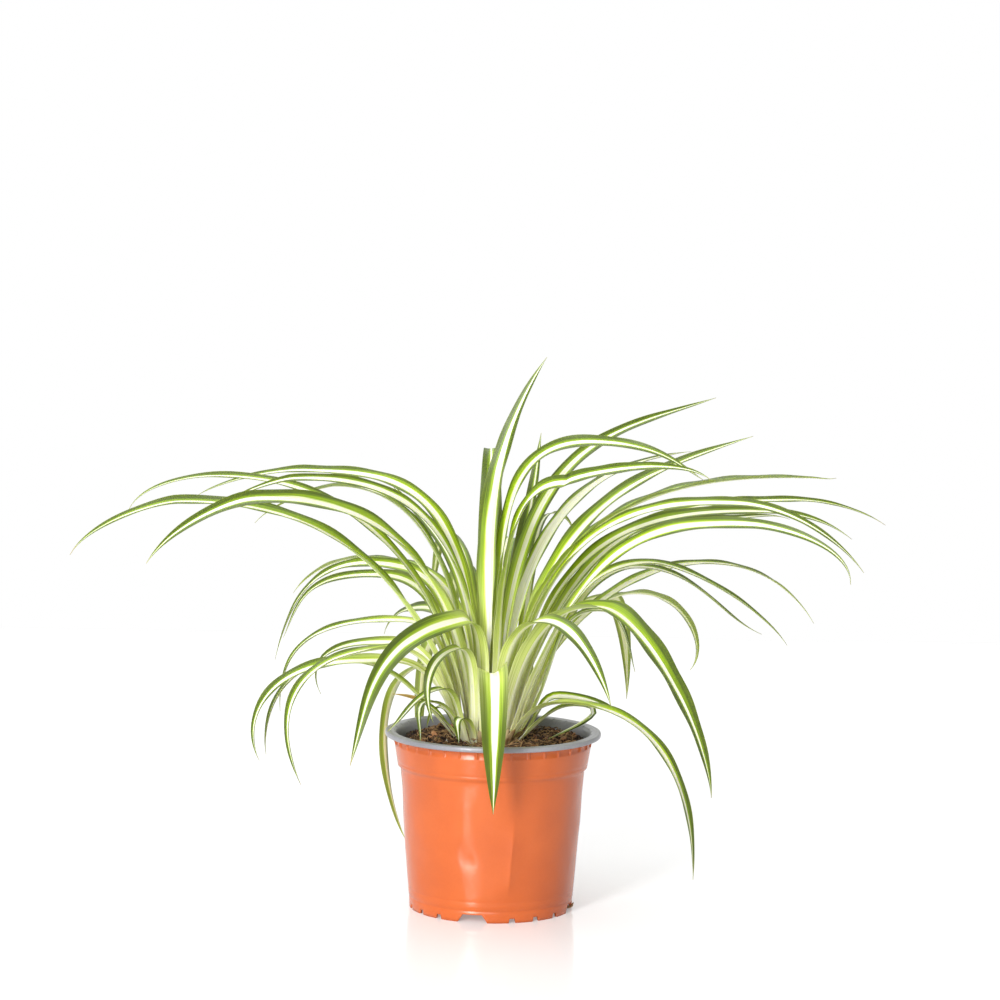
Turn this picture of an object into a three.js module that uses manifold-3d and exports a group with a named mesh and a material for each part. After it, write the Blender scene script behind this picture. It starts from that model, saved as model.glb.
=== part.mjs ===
// Potted spider plant: a thin two-colour nursery pot, its potting soil, the plant's crown,
// and every leaf as a folded blade. Millimetres, +Z up, -Y towards the viewer, +X to the right.
// The origin is the centre of the pot's foot, on the ground.
import * as THREE from 'three';
import { mergeVertices } from 'three/addons/utils/BufferGeometryUtils.js';
import Module from 'manifold-3d';

const wasm = await Module();
wasm.setup();

// ---- Driving dimensions (mm, degrees) ----

const POT_HEIGHT = 99;
const WALL = 0.9;
const GAP = 0.3; // clearance between pieces that touch
const ROUND = 64; // facets round the pot

const FOOT_RADIUS = 45.4; // outside, at the ground
const FOOT_BAND = 6.5; // height of the band above the ground
const FOOT_WALL = 1.5;
const FLOOR_UNDER = 4.7; // underside of the raised floor
const FLOOR_TOP = 6;
const BODY_LOW_RADIUS = 45.8;
const BODY_TOP_RADIUS = 51.5;
const COLLAR_BOTTOM = 79;
const COLLAR_LOW_RADIUS = 52.7;
const COLLAR_TOP = 93;
const COLLAR_TOP_RADIUS = 54.7;
const STRIP_TOP = 96.3; // the ribbed strip under the lip
const STRIP_RADIUS = 54.3;
const LIP_RADIUS = 60;
const LIP_ROUND = 0.8; // rounding of the lip's rolled edge

const RIB_COUNT = 36;
const RIB_WIDTH = 0.9;
const RIB_REACH = 1.6; // how far a rib stands out under the lip
const RIB_TURN = 1; // degrees from the front to the first rib

const BIG_NOTCH = { low: 17, high: 10.8, height: 4.4 };
const SMALL_NOTCH = { low: 4, high: 3, height: 2.4 };
const BIG_NOTCH_TURN = -12.6; // degrees from the front, and every quarter turn
const SMALL_NOTCH_TURNS = [28, 46, 64]; // from each big notch
const DRAIN_COUNT = 8;
const DRAIN_RADIUS = 3.6;
const DRAIN_RING = 31;

const SOIL_LEVEL = 92.6;
const SOIL_RELIEF = 1.1; // height of the clods and crumbs
const SOIL_RINGS = 8;
const SOIL_FACETS = 48;

const CROWN_X = -3; // the plant stands a little left of the pot's axis
const CROWN_RADIUS = 18;
const CROWN_TOP = 94;
const CROWN_BOTTOM = 72;
const CROWN_FOOT_RADIUS = 11;
const CROWN_SHOULDER = 8; // height below the top at which the crown reaches its full radius
const CROWN_FACETS = 32;

const ROOT_RADIUS = 0.9;

const BLADE = 0.62; // thickness of a leaf
const TIP_WIDTH = 0.9;
const BASE_SHARE = 0.6; // width at the base, as a share of the widest
const WIDEST_AT = 0.45; // place of the widest point along the leaf
const CLOSED = 0.34; // depth of the fold where a leaf is folded most, as a share of the width
const OPENING = 0.12; // share of the length over which the wrapped base turns into the channel
const LAYER = 0.88; // step from one leaf base to the next one that wraps it
const FIRST_SEAT = 2.5; // distance of the innermost leaf bases from the crown's axis
const SEAT_MARGIN = 1.4; // bases this much wider than they are still count as side by side
const STATION = 17; // spacing of a leaf's cross-sections
const FEWEST_STATIONS = 8;
const MOST_STATIONS = 14;
const TAPER = 2.2; // power of the taper to the tip
const CREST_HANDLE = 0.35; // pull of the curve at the crest, as a share of the rise
const TIP_HANDLE = 0.3; // pull of the curve at the tip, as a share of the fall
const ROLL_FROM = 0.08; // shares of the length between which a leaf turns about its midrib
const ROLL_TO = 0.5;
// the usual pull of the curve at the base, before and after the crest, turn of the blade, and
// depth of its fold as a share of the width
const HABIT = { bow: 0.45, ease: 0.7, nod: 0.4, roll: 0, fold: 0.17 };

// Each leaf: turn (0 right, 90 back, 180 left, 270 front), lift (launch above level),
// crest [out, up] or null for a leaf that only rises, tip [out, up], dive (below level at
// the tip), width, and at times its own habit: {bow, ease, nod} pull its curve, roll turns
// the blade about its midrib, fold is its own depth of fold, seat is its base's distance from
// the crown's axis, join names the leaf it grows together with. Out is measured from the
// crown's axis, up from the ground.
const LEAVES = {
  left_high: [
    [199, 74, [177, 229.5], [235, 202], 61, 13, { bow: 0.5, ease: 0.73, nod: 0.17, roll: -19 }],
    [216, 85, [151.5, 234.5], [217.5, 204], 54, 14, { bow: 0.53, ease: 0.69, nod: 0.26, roll: -34 }],
    [186, 82, [151, 240], [199, 221], 65, 10, { bow: 0.5, ease: 0.75, nod: 0.31, roll: -26 }],
    [164, 88, [108.5, 240], [175.5, 222], 34, 10, { bow: 0.8, nod: 0.22, roll: -26 }],
    [123, 86, null, [110.5, 230], -31, 8, { bow: 0.65, roll: -16 }],
    [204, 89, [115.5, 242], [155.5, 229.5], 31, 9.5, { bow: 0.66, ease: 0.62, nod: 0.2, roll: -40 }],
    [181, 86, [85.5, 234.5], [130.5, 213], 50, 10, { bow: 0.46, ease: 0.75, nod: 0.16, roll: -8 }],
  ],
  left_mid: [
    [133, 85, [93, 186.5], [172, 158.5], 45, 8.5, { bow: 0.74, ease: 0.8, nod: 0.37, roll: 5 }],
    [149, 80, [73, 187], [145, 125.5], 74, 7.5, { bow: 0.75, ease: 0.88, nod: 0.55, roll: -44 }],
    [169, 75, [62, 183.5], [118, 146], 65, 8, { bow: 0.56, ease: 0.74, nod: 0.69, roll: -36 }],
  ],
  left_low: [
    [171, 73, [49.5, 158.5], [118.5, 104.5], 93, 8, { bow: 0.57, ease: 0.79, nod: 0.71, roll: -16 }],
    [191, 71, [73, 138.5], [127.5, 84], 116, 11, { bow: 0.7, ease: 0.78, nod: 0.7, roll: -20 }],
    [209, 62, [61.5, 148.5], [114.5, 76.5], 116, 10.5, { bow: 0.42, ease: 0.77, nod: 0.84, roll: -2 }],
    [185, 49, [81, 137.5], [123, 85], 99, 9, { bow: 0.5, ease: 0.74, nod: 0.52, roll: -9 }],
    [161, 69, [56, 144.5], [100.5, 112.5], 120, 8, { bow: 0.41, ease: 0.67, nod: 0.87, roll: -37 }],
    [119, 68, [58, 159.5], [129, 136.5], 64, 9, { bow: 0.43, ease: 0.78, nod: 0.21, roll: -41 }],
    [238, 86, [28, 164], [134, 98], 64, 12.5, { bow: 0.33, ease: 1.32, nod: 0.7, roll: -45 }],
    [239, 68, [32.5, 148.5], [57, 110.5], 126, 8, { bow: 0.2, ease: 1.2, nod: 0.88, roll: -8 }],
    [142, 61, [34.5, 132], [57.5, 28], 128, 9, { bow: 0.48, ease: 0.63, nod: 0.53, roll: -5 }],
  ],
  left_short: [
    [230, 58, [40.5, 126.5], [83.5, 108], 22, 6, { bow: 0.43, ease: 0.71, nod: 0.46, roll: -2 }],
    [223, 60, [46, 119.5], [50.5, 96], 68, 5, { ease: 0.74, nod: 0.43, join: 'left_short_1' }],
    [200, 55, null, [56, 121.5], -8, 5, { bow: 0.49, roll: -24 }],
    [150, 48, [31.5, 109], [40, 96.5], 70, 5, { bow: 0.42, ease: 0.87, nod: 0.38, roll: -10 }],
    [243, 67, [33.5, 110], [35, 96.5], 58, 5.5, { ease: 0.62, nod: 0.52, roll: -4, seat: 16.5 }],
  ],
  top: [
    [15, 90, null, [30.5, 306.5], -56, 13, { roll: 37 }],
    [69, 84, null, [77.5, 260], -75, 13, { bow: 0.21, roll: -22 }],
    [91, 87, [39.5, 253], [62, 229.5], 62, 14, { bow: 0.46, ease: 0.67, nod: 0.42, roll: -6, fold: 0.08 }],
    [51, 70, [55.5, 217], [74.5, 204], 83, 9, { bow: 0.64, ease: 0.56, nod: 0.37, roll: -16, fold: 0.08 }],
  ],
  right_high: [
    [342, 89, [60.5, 262], [120.5, 243.5], 30, 11, { bow: 0.62, ease: 1.34, nod: 0.55, roll: 46 }],
    [321, 87, [53.5, 240.5], [147.5, 248.5], 32, 10.5, { bow: 0.38, ease: 1.45, nod: -0.12, roll: 44 }],
    [28, 88, null, [144.5, 282], -15, 9, { bow: 0.72, roll: 36 }],
    [9, 83, null, [147.5, 263.5], -18, 13.5, { bow: 0.59, roll: 24 }],
    [39, 86, null, [148.5, 249], -3, 10, { bow: 0.61, roll: 4 }],
    [350, 86, [176, 245.5], [189.5, 245.5], -18, 14, { bow: 0.58, ease: 0.79, nod: 0.3, roll: 6 }],
    [15, 76, [177.5, 226], [233.5, 211], 33, 9, { bow: 0.61, ease: 0.52, nod: 0.32, roll: 25 }],
    [339, 83, [143, 232.5], [212, 199], 52, 10, { bow: 0.62, ease: 0.92, nod: 0.35, roll: 28 }],
    [354, 82, [151, 225], [198.5, 211], 36, 10.5, { bow: 0.62, ease: 0.82, nod: 0.45, roll: 27 }],
    [29, 75, [156, 212], [199, 210], 20, 10.5, { bow: 0.56, ease: 0.62, nod: 0.35, roll: 18 }],
    [334, 70, [155, 223], [210.5, 194.5], 92, 9, { bow: 0.61, ease: 0.58, nod: 0.34, roll: 50 }],
  ],
  right_mid: [
    [5, 69, [89, 193], [167.5, 147], 56, 9, { bow: 0.49, ease: 0.59, nod: 0.22, roll: 11 }],
    [20, 60, [85.5, 188], [166, 147.5], 21, 8.5, { bow: 0.36, ease: 0.54, nod: 0.44, roll: 18 }],
    [34, 69, [143, 185], [233, 144.5], 53, 8, { bow: 0.39, ease: 0.85, nod: 0.45, roll: 15 }],
    [46, 60, [115, 166.5], [172, 116], 147, 9.5, { bow: 0.36, ease: 0.76, nod: 0.66, roll: -15 }],
    [56, 70, [122.5, 161.5], [146.5, 98.5], 96, 12.5, { bow: 0.46, ease: 0.74, nod: 0.28, roll: -29 }],
    [350, 53, [62, 168.5], [82, 135], 71, 8, { bow: 0.51, nod: 0.38, roll: 9 }],
    [319, 80, [80, 175.5], [156.5, 82], 85, 16.5, { bow: 0.5, ease: 0.74, nod: 0.23, roll: 6 }],
  ],
  front: [
    [301, 85, [66, 167.5], [125, 130.5], 61, 11.5, { bow: 0.6, ease: 0.66, nod: 0.35, roll: 16 }],
    [273, 78, [60.5, 139.5], [72, 65.5], 88, 16, { bow: 0.41, ease: 0.68, nod: 0.39, roll: 11, fold: 0.3 }],
    [-1, 44, [39.5, 118.5], [79.5, 105], 37, 8, { bow: 0.47, ease: 0.77, roll: 23 }],
    [328, 56, [56.5, 119.5], [131.5, 31], 90, 10.5, { bow: 0.53, ease: 0.64, nod: 0.55 }],
    [341, 44, [52.5, 116.5], [35, 96], 152, 8.5, { bow: 0.47, ease: 0.72, nod: 0.9, roll: 4 }],
  ],
  back: [
    [82, 64, [77, 198.5], [114, 155.5], 66, 11, { bow: 0.46, ease: 0.65, roll: 10 }],
    [102, 58, [74, 181.5], [119.5, 109], 73, 10, { bow: 0.49, ease: 0.54, nod: 0.43, roll: 2 }],
    [113, 57, [69.5, 143], [103.5, 57.5], 91, 9, { ease: 0.65, nod: 0.41, roll: 5 }],
    [78, 56, [73, 139.5], [116, 45.5], 102, 9, { bow: 0.37, ease: 0.67, nod: 0.37, roll: 1 }],
    [108, 73, [81.5, 200], [114.5, 156.5], 57, 9, { bow: 0.46, ease: 0.74, roll: 12 }],
  ],
};

// ---- Helpers ----

/** A closed geometry as a solid that can be joined and cut. */
function solid(geometry) {
  const bare = new THREE.BufferGeometry();
  bare.setAttribute('position', geometry.getAttribute('position'));
  bare.setIndex(geometry.index);
  const merged = mergeVertices(bare, 1e-4);
  const corners = [...merged.index.array];
  const triVerts = [];
  for (let i = 0; i < corners.length; i += 3) {
    const [a, b, c] = corners.slice(i, i + 3);
    if (a !== b && b !== c && c !== a) triVerts.push(a, b, c);
  }
  return new wasm.Manifold(new wasm.Mesh({
    numProp: 3,
    vertProperties: new Float32Array(merged.getAttribute('position').array),
    triVerts: new Uint32Array(triVerts),
  }));
}

/** The named mesh of a solid. */
function piece(name, shape, { color, roughness, metalness = 0 }) {
  const { vertProperties, triVerts } = shape.getMesh();
  const geometry = new THREE.BufferGeometry();
  geometry.setAttribute('position', new THREE.BufferAttribute(vertProperties, 3));
  geometry.setIndex(new THREE.BufferAttribute(triVerts, 1));
  geometry.computeVertexNormals();
  const material = new THREE.MeshStandardMaterial({ color, roughness, metalness });
  const mesh = new THREE.Mesh(geometry, material);
  mesh.name = name;
  return mesh;
}

/** A profile of [radius, height] points, from the axis back to the axis, turned about +Z. */
function turned(profile, facets = ROUND) {
  const points = profile.map(([radius, height]) => new THREE.Vector2(radius, height));
  return new THREE.LatheGeometry(points, facets).rotateX(Math.PI / 2);
}

/** Puts a geometry made at the front (towards -Y) at an angle round the axis. */
function atAngle(geometry, degrees, radius, height = 0) {
  return geometry.translate(0, -radius, height).rotateZ(THREE.MathUtils.degToRad(degrees));
}

// ---- Pot ----

const bodySlope = (BODY_TOP_RADIUS - BODY_LOW_RADIUS) / (COLLAR_BOTTOM - FOOT_BAND);

/** Inside radius of the pot's wall below the collar. */
function insideRadius(height) {
  return BODY_LOW_RADIUS + bodySlope * (height - FOOT_BAND) - WALL;
}

function potShell() {
  return turned([
    [0, FLOOR_UNDER],
    [FOOT_RADIUS - FOOT_WALL, FLOOR_UNDER],
    [FOOT_RADIUS - FOOT_WALL, 0],
    [FOOT_RADIUS, 0],
    [FOOT_RADIUS + 0.1, FOOT_BAND],
    [BODY_LOW_RADIUS, FOOT_BAND + 0.2],
    [BODY_TOP_RADIUS, COLLAR_BOTTOM],
    [COLLAR_LOW_RADIUS, COLLAR_BOTTOM + 0.5],
    [COLLAR_TOP_RADIUS, COLLAR_TOP],
    [STRIP_RADIUS, COLLAR_TOP + 0.3],
    [STRIP_RADIUS + 0.3, STRIP_TOP],
    [LIP_RADIUS - LIP_ROUND, STRIP_TOP],
    [LIP_RADIUS, STRIP_TOP + LIP_ROUND],
    [LIP_RADIUS, POT_HEIGHT - LIP_ROUND],
    [LIP_RADIUS - LIP_ROUND, POT_HEIGHT],
    [STRIP_RADIUS + 0.6, POT_HEIGHT],
    [STRIP_RADIUS - WALL, STRIP_TOP],
    [COLLAR_LOW_RADIUS - WALL, COLLAR_BOTTOM + 0.8],
    [BODY_TOP_RADIUS - WALL, COLLAR_BOTTOM],
    [insideRadius(FLOOR_TOP), FLOOR_TOP],
    [0, FLOOR_TOP],
  ]);
}

/** A tapered tooth gap in the foot, cut straight through the ring from below. */
function notchCutter({ low, high, height }, degrees) {
  const below = 1;
  const outline = new THREE.Shape([
    new THREE.Vector2(-low / 2, -below),
    new THREE.Vector2(low / 2, -below),
    new THREE.Vector2(high / 2, height),
    new THREE.Vector2(-high / 2, height),
  ]);
  const depth = FOOT_WALL + 4;
  const block = new THREE.ExtrudeGeometry(outline, { depth, bevelEnabled: false });
  block.rotateX(Math.PI / 2);
  return solid(atAngle(block, degrees, FOOT_RADIUS - FOOT_WALL - 2));
}

function potSolid() {
  let pot = solid(potShell());
  for (let i = 0; i < RIB_COUNT; i++) {
    const depth = RIB_REACH + WALL / 2;
    const height = STRIP_TOP - COLLAR_TOP + WALL / 2;
    const rib = new THREE.BoxGeometry(RIB_WIDTH, depth, height);
    const middle = STRIP_RADIUS - WALL / 2 + depth / 2;
    const turn = RIB_TURN + (360 / RIB_COUNT) * i;
    pot = pot.add(solid(atAngle(rib, turn, middle, COLLAR_TOP + height / 2)));
  }
  for (let quarter = 0; quarter < 4; quarter++) {
    const turn = BIG_NOTCH_TURN + 90 * quarter;
    pot = pot.subtract(notchCutter(BIG_NOTCH, turn));
    for (const step of SMALL_NOTCH_TURNS) {
      pot = pot.subtract(notchCutter(SMALL_NOTCH, turn + step));
    }
  }
  for (let i = 0; i < DRAIN_COUNT; i++) {
    const hole = new THREE.CylinderGeometry(DRAIN_RADIUS, DRAIN_RADIUS, 4, 14);
    hole.rotateX(Math.PI / 2);
    const turn = BIG_NOTCH_TURN + (360 / DRAIN_COUNT) * i;
    pot = pot.subtract(solid(atAngle(hole, turn, DRAIN_RING, FLOOR_TOP - 1)));
  }
  return pot;
}

// ---- Soil ----

/** Height of the soil's relief: crumbs and clods as a sum of waves, level at the edge. */
function soilRelief(x, y) {
  const clods = Math.sin(x * 0.21 + 1.3) * Math.cos(y * 0.24 - 0.4);
  const crumbs = Math.sin(x * 0.63 + y * 0.41) * Math.cos(y * 0.57 - x * 0.2);
  return SOIL_RELIEF * (0.6 * clods + 0.4 * crumbs);
}

/** The crown's outline, grown by a clearance and ending at a height. */
function crownShape(grow, top) {
  return solid(turned([
    [0, CROWN_BOTTOM - grow],
    [CROWN_FOOT_RADIUS + grow, CROWN_BOTTOM - grow],
    [CROWN_RADIUS + grow, CROWN_TOP - CROWN_SHOULDER],
    [CROWN_RADIUS + grow, top],
    [0, top],
  ], CROWN_FACETS).translate(CROWN_X, 0, 0));
}

function soilSolid() {
  const bottom = FLOOR_TOP + GAP;
  const rim = insideRadius(COLLAR_BOTTOM) - GAP;
  const collarRim = rim + 1.2;
  const top = [];
  for (let ring = SOIL_RINGS; ring >= 0; ring--) {
    top.push([(collarRim * ring) / SOIL_RINGS, SOIL_LEVEL]);
  }
  const ground = turned([
    [0, bottom],
    [insideRadius(bottom) - GAP, bottom],
    [rim, COLLAR_BOTTOM - 0.2],
    [collarRim, COLLAR_BOTTOM + 2],
    ...top,
  ], SOIL_FACETS);
  const place = ground.getAttribute('position');
  for (let i = 0; i < place.count; i++) {
    if (place.getZ(i) === Math.fround(SOIL_LEVEL)) {
      place.setZ(i, SOIL_LEVEL + soilRelief(place.getX(i), place.getY(i)));
    }
  }
  return solid(ground).subtract(crownShape(GAP, POT_HEIGHT));
}

// ---- Root ----

/** A root end that has found a drain hole and pokes out of a notch in the foot. */
function rootSolid() {
  const out = new THREE.Vector3(0, -1, 0).applyAxisAngle(
    new THREE.Vector3(0, 0, 1),
    THREE.MathUtils.degToRad(BIG_NOTCH_TURN + 90),
  );
  const at = (radius, height) => out.clone().multiplyScalar(radius).setZ(height);
  const path = new THREE.CatmullRomCurve3([
    at(DRAIN_RING, FLOOR_TOP - 0.9),
    at(DRAIN_RING + 1.5, 3),
    at(DRAIN_RING + 8, 1.6),
    at(FOOT_RADIUS + 0.5, 2),
    at(FOOT_RADIUS + 1.8, 4.5),
  ]);
  const section = new THREE.Shape().absarc(0, 0, ROOT_RADIUS, 0, Math.PI * 2);
  const options = { steps: 12, curveSegments: 4, bevelEnabled: false, extrudePath: path };
  return solid(new THREE.ExtrudeGeometry(section, options));
}

// ---- Leaves ----

const degrees = THREE.MathUtils.degToRad;

/** One cubic stretch in the leaf's upright plane, from a to b, leaving and arriving at angles. */
function stretch(a, leaveAngle, leaveLength, b, arriveAngle, arriveLength) {
  const leave = new THREE.Vector2(Math.cos(leaveAngle), Math.sin(leaveAngle));
  const arrive = new THREE.Vector2(Math.cos(arriveAngle), Math.sin(arriveAngle));
  const first = a.clone().addScaledVector(leave, leaveLength);
  const second = b.clone().addScaledVector(arrive, -arriveLength);
  return new THREE.CubicBezierCurve(a, first, second, b);
}

/** The midrib as [out, up]: up from the crown, over the crest, down to the tip. */
function midrib(leaf) {
  const base = new THREE.Vector2(leaf.seat, CROWN_TOP + GAP);
  const tip = new THREE.Vector2(...leaf.tip);
  const path = new THREE.CurvePath();
  if (leaf.crest) {
    const crest = new THREE.Vector2(...leaf.crest);
    const rise = base.distanceTo(crest);
    const level = Math.min(CREST_HANDLE * rise, leaf.ease * (crest.x - base.x));
    const fall = crest.distanceTo(tip);
    path.add(stretch(base, degrees(leaf.lift), leaf.bow * rise, crest, 0, level));
    path.add(stretch(crest, 0, leaf.nod * fall, tip, -degrees(leaf.dive), TIP_HANDLE * fall));
  } else {
    const rise = base.distanceTo(tip);
    const level = CREST_HANDLE * rise;
    path.add(stretch(base, degrees(leaf.lift), leaf.bow * rise, tip, -degrees(leaf.dive), level));
  }
  return path;
}

/** Width of the blade at t along it: it widens from the base, then tapers to the tip. */
function widthAt(t, wide) {
  const opened = Math.sin((Math.min(t / WIDEST_AT, 1) * Math.PI) / 2);
  const past = Math.max(0, (t - WIDEST_AT) / (1 - WIDEST_AT));
  const share = BASE_SHARE + (1 - BASE_SHARE) * opened;
  return Math.max(TIP_WIDTH, wide * share * (1 - past ** TAPER));
}

/** Depth of the fold: wrapped round the crown's axis near it, a channel further out. */
function foldAt(leaf, out, width, t) {
  const wrapped = (width * width) / (8 * Math.max(out, 1));
  const channel = width * leaf.fold * Math.min(1, t / OPENING);
  return Math.min(width * CLOSED, Math.max(channel, wrapped));
}

/** The leaf's cross-sections: three points on the upper face and three on the lower. */
function sections(leaf) {
  const path = midrib(leaf);
  const stations = Math.round(path.getLength() / STATION);
  const count = THREE.MathUtils.clamp(stations, FEWEST_STATIONS, MOST_STATIONS);
  const spots = path.getSpacedPoints(count);
  const out = new THREE.Vector3(Math.cos(degrees(leaf.turn)), Math.sin(degrees(leaf.turn)), 0);
  const up = new THREE.Vector3(0, 0, 1);
  const aside = new THREE.Vector3().crossVectors(up, out);
  const place = (spot) => new THREE.Vector3(CROWN_X, 0, 0)
    .addScaledVector(out, spot.x)
    .addScaledVector(up, spot.y);
  return spots.map((spot, i) => {
    const before = place(spots[Math.max(0, i - 1)]);
    const after = place(spots[Math.min(count, i + 1)]);
    const along = i === 0 ? up : after.sub(before).normalize();
    const roll = degrees(leaf.roll * THREE.MathUtils.smoothstep(i / count, ROLL_FROM, ROLL_TO));
    const across = aside.clone().applyAxisAngle(along, roll);
    const inward = new THREE.Vector3().crossVectors(along, across);
    const width = widthAt(i / count, leaf.wide);
    const fold = foldAt(leaf, spot.x, width, i / count);
    const centre = place(spot);
    const corner = (side, depth) => centre.clone()
      .addScaledVector(across, (side * width) / 2)
      .addScaledVector(inward, depth);
    return [
      corner(-1, fold), corner(0, 0), corner(1, fold),
      corner(1, fold - BLADE), corner(0, -BLADE), corner(-1, fold - BLADE),
    ];
  });
}

/** Skins the cross-sections, each pair of faces split along the same diagonal. */
function leafSolid(leaf) {
  const rings = sections(leaf);
  const corners = rings.flat();
  const triangles = [];
  const size = rings[0].length;
  for (let i = 0; i < rings.length - 1; i++) {
    for (let from = 0; from < size; from++) {
      const to = (from + 1) % size;
      const rising = from % 3 !== 1;
      const [a, b, c, d] = [[i, from], [i, to], [i + 1, to], [i + 1, from]]
        .map(([ring, corner]) => size * ring + corner);
      if (rising) triangles.push(a, c, b, a, d, c);
      else triangles.push(a, d, b, b, d, c);
    }
  }
  const last = size * (rings.length - 1);
  for (const [a, b, c] of [[0, 1, 5], [1, 4, 5], [1, 2, 4], [2, 3, 4]]) {
    triangles.push(a, b, c);
    triangles.push(last + a, last + c, last + b);
  }
  const geometry = new THREE.BufferGeometry().setFromPoints(corners);
  geometry.setIndex(triangles);
  return solid(geometry);
}

/** The leaves as records, steepest first, each with the seat that wraps those inside it. */
function seatedLeaves() {
  const leaves = Object.entries(LEAVES).flatMap(([group, rows]) => rows.map(
    ([turn, lift, crest, tip, dive, wide, habit], i) => ({
      name: `leaf_${group}_${i + 1}`,
      turn, lift, crest, tip, dive, wide,
      ...HABIT,
      ...habit,
    }),
  ));
  leaves.sort((a, b) => b.lift - a.lift);
  leaves.forEach((leaf, i) => {
    leaf.seat ??= FIRST_SEAT;
    for (const inner of leaves.slice(0, i)) {
      const apart = THREE.MathUtils.euclideanModulo(leaf.turn - inner.turn + 180, 360) - 180;
      const halves = ((leaf.wide + inner.wide) * BASE_SHARE) / 2;
      const reach = (SEAT_MARGIN * halves) / inner.seat;
      if (Math.abs(degrees(apart)) < reach) leaf.seat = Math.max(leaf.seat, inner.seat + LAYER);
    }
  });
  return leaves;
}

// ---- Assembly ----

const PLASTIC = { color: 0xe8743b, roughness: 0.45 };
const SOIL = { color: 0x3a2418, roughness: 0.95 };
const CROWN = { color: 0xe6e4bd, roughness: 0.7 };
const ROOT = { color: 0x8a6238, roughness: 0.8 };
const LEAF = { color: 0x86b31c, roughness: 0.5 };

const plant = new THREE.Group();
plant.add(piece('pot', potSolid(), PLASTIC));
plant.add(piece('soil', soilSolid(), SOIL));
plant.add(piece('crown', crownShape(0, CROWN_TOP), CROWN));
plant.add(piece('root_end', rootSolid(), ROOT));
const leaves = seatedLeaves();
for (const leaf of leaves.filter((each) => !each.join)) {
  const joined = leaves.filter((each) => `leaf_${each.join}` === leaf.name);
  const blade = joined.reduce((sum, each) => sum.add(leafSolid(each)), leafSolid(leaf));
  plant.add(piece(leaf.name, blade, LEAF));
}

export default plant;
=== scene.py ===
# %% [markdown]
# # A potted spider plant
# The model of this plant comes in as a frame of plain solids: a pot, its soil, a crown and one
# folded blade for each leaf. The frame fixes every size. This lesson dresses each solid with a
# finer surface at the same place. All shapes are worked out with numpy as whole arrays, in
# millimetres, and turned to metres once, when a mesh is made.

import bpy
import numpy as np
from mathutils import Matrix


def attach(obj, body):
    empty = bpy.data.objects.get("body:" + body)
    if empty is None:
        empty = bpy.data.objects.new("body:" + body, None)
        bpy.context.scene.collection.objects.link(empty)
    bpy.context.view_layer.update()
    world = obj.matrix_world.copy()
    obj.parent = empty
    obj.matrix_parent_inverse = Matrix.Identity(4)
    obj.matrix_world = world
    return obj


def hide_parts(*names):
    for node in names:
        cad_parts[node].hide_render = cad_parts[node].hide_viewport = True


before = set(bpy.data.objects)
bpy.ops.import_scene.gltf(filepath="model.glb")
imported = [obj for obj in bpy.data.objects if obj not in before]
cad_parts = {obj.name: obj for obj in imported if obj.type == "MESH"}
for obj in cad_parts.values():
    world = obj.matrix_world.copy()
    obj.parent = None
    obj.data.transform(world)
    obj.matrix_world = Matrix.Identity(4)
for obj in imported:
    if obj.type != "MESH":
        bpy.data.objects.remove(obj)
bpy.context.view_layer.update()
MM = 0.001
print("nodes in the frame:", len(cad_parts))

# %% [markdown]
# ## The camera
# A product photographer stands about 1.7 m away with a long lens, so the pot's ellipse is
# shallow and nothing looks swollen. The camera is a little above the leaves and tilted down by
# 5.3 degrees, and it hangs 0.9 degrees askew. A camera looks along its own -Z, so its matrix
# is built from three directions: right, up and backwards.

# %% Place the camera
CAMERA_AT = np.array([1.8, -1720.0, 388.0])
PITCH, ROLL = np.radians([5.33, 0.9])
LENS_MM = 112.6

look = np.array([0.0, np.cos(PITCH), -np.sin(PITCH)])
level = np.array([1.0, 0.0, 0.0])
upright = np.cross(level, look)
right = level * np.cos(ROLL) + upright * np.sin(ROLL)
up = upright * np.cos(ROLL) - level * np.sin(ROLL)

camera_data = bpy.data.cameras.new("camera")
camera_data.lens = LENS_MM
camera_data.clip_end = 60
camera = bpy.data.objects.new("camera", camera_data)
bpy.context.scene.collection.objects.link(camera)
bpy.context.scene.camera = camera
camera.matrix_world = Matrix(
    [[*row, at] for row, at in zip(np.stack([right, up, -look], 1), CAMERA_AT * MM)] + [[0, 0, 0, 1]]
)
print("camera at", camera.location[:], "lens", LENS_MM, "mm")

# %% [markdown]
# ## From arrays to meshes
# Every surface here is a grid: rows of points that run along a piece, and columns that run
# round it. One function lists the quads between neighbouring rows and columns, and one puts
# points and faces into a mesh in bulk. A closed mesh encloses a positive volume when its faces
# point outwards, so the sum of its corner products tells whether they have to be turned.


# %% Mesh helpers
def quads(rows, columns, wrap_rows=False):
    """Corners of the grid's quads: (i, j), (i, j+1), (i+1, j+1), (i+1, j). Columns wrap round."""
    i = np.arange(rows if wrap_rows else rows - 1)[:, None]
    j = np.arange(columns)[None, :]
    below, beside = (i + 1) % rows, (j + 1) % columns
    corners = [i * columns + j, i * columns + beside, below * columns + beside, below * columns + j]
    return np.stack(corners, -1).reshape(-1, 4)


def turned_outwards(points, faces):
    """The faces, turned round if the volume under them, a sum of a . (b x c) / 6, is negative."""
    volume = 0.0
    for k in range(1, faces.shape[1] - 1):
        a, b, c = points[faces[:, 0]], points[faces[:, k]], points[faces[:, k + 1]]
        volume += np.einsum("ij,ij->i", a, np.cross(b, c)).sum()
    return faces if volume > 0 else faces[:, ::-1]


def new_object(name, data):
    """An object that shows this data, linked to the scene."""
    made = bpy.data.objects.new(name, data)
    bpy.context.scene.collection.objects.link(made)
    return made


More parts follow.
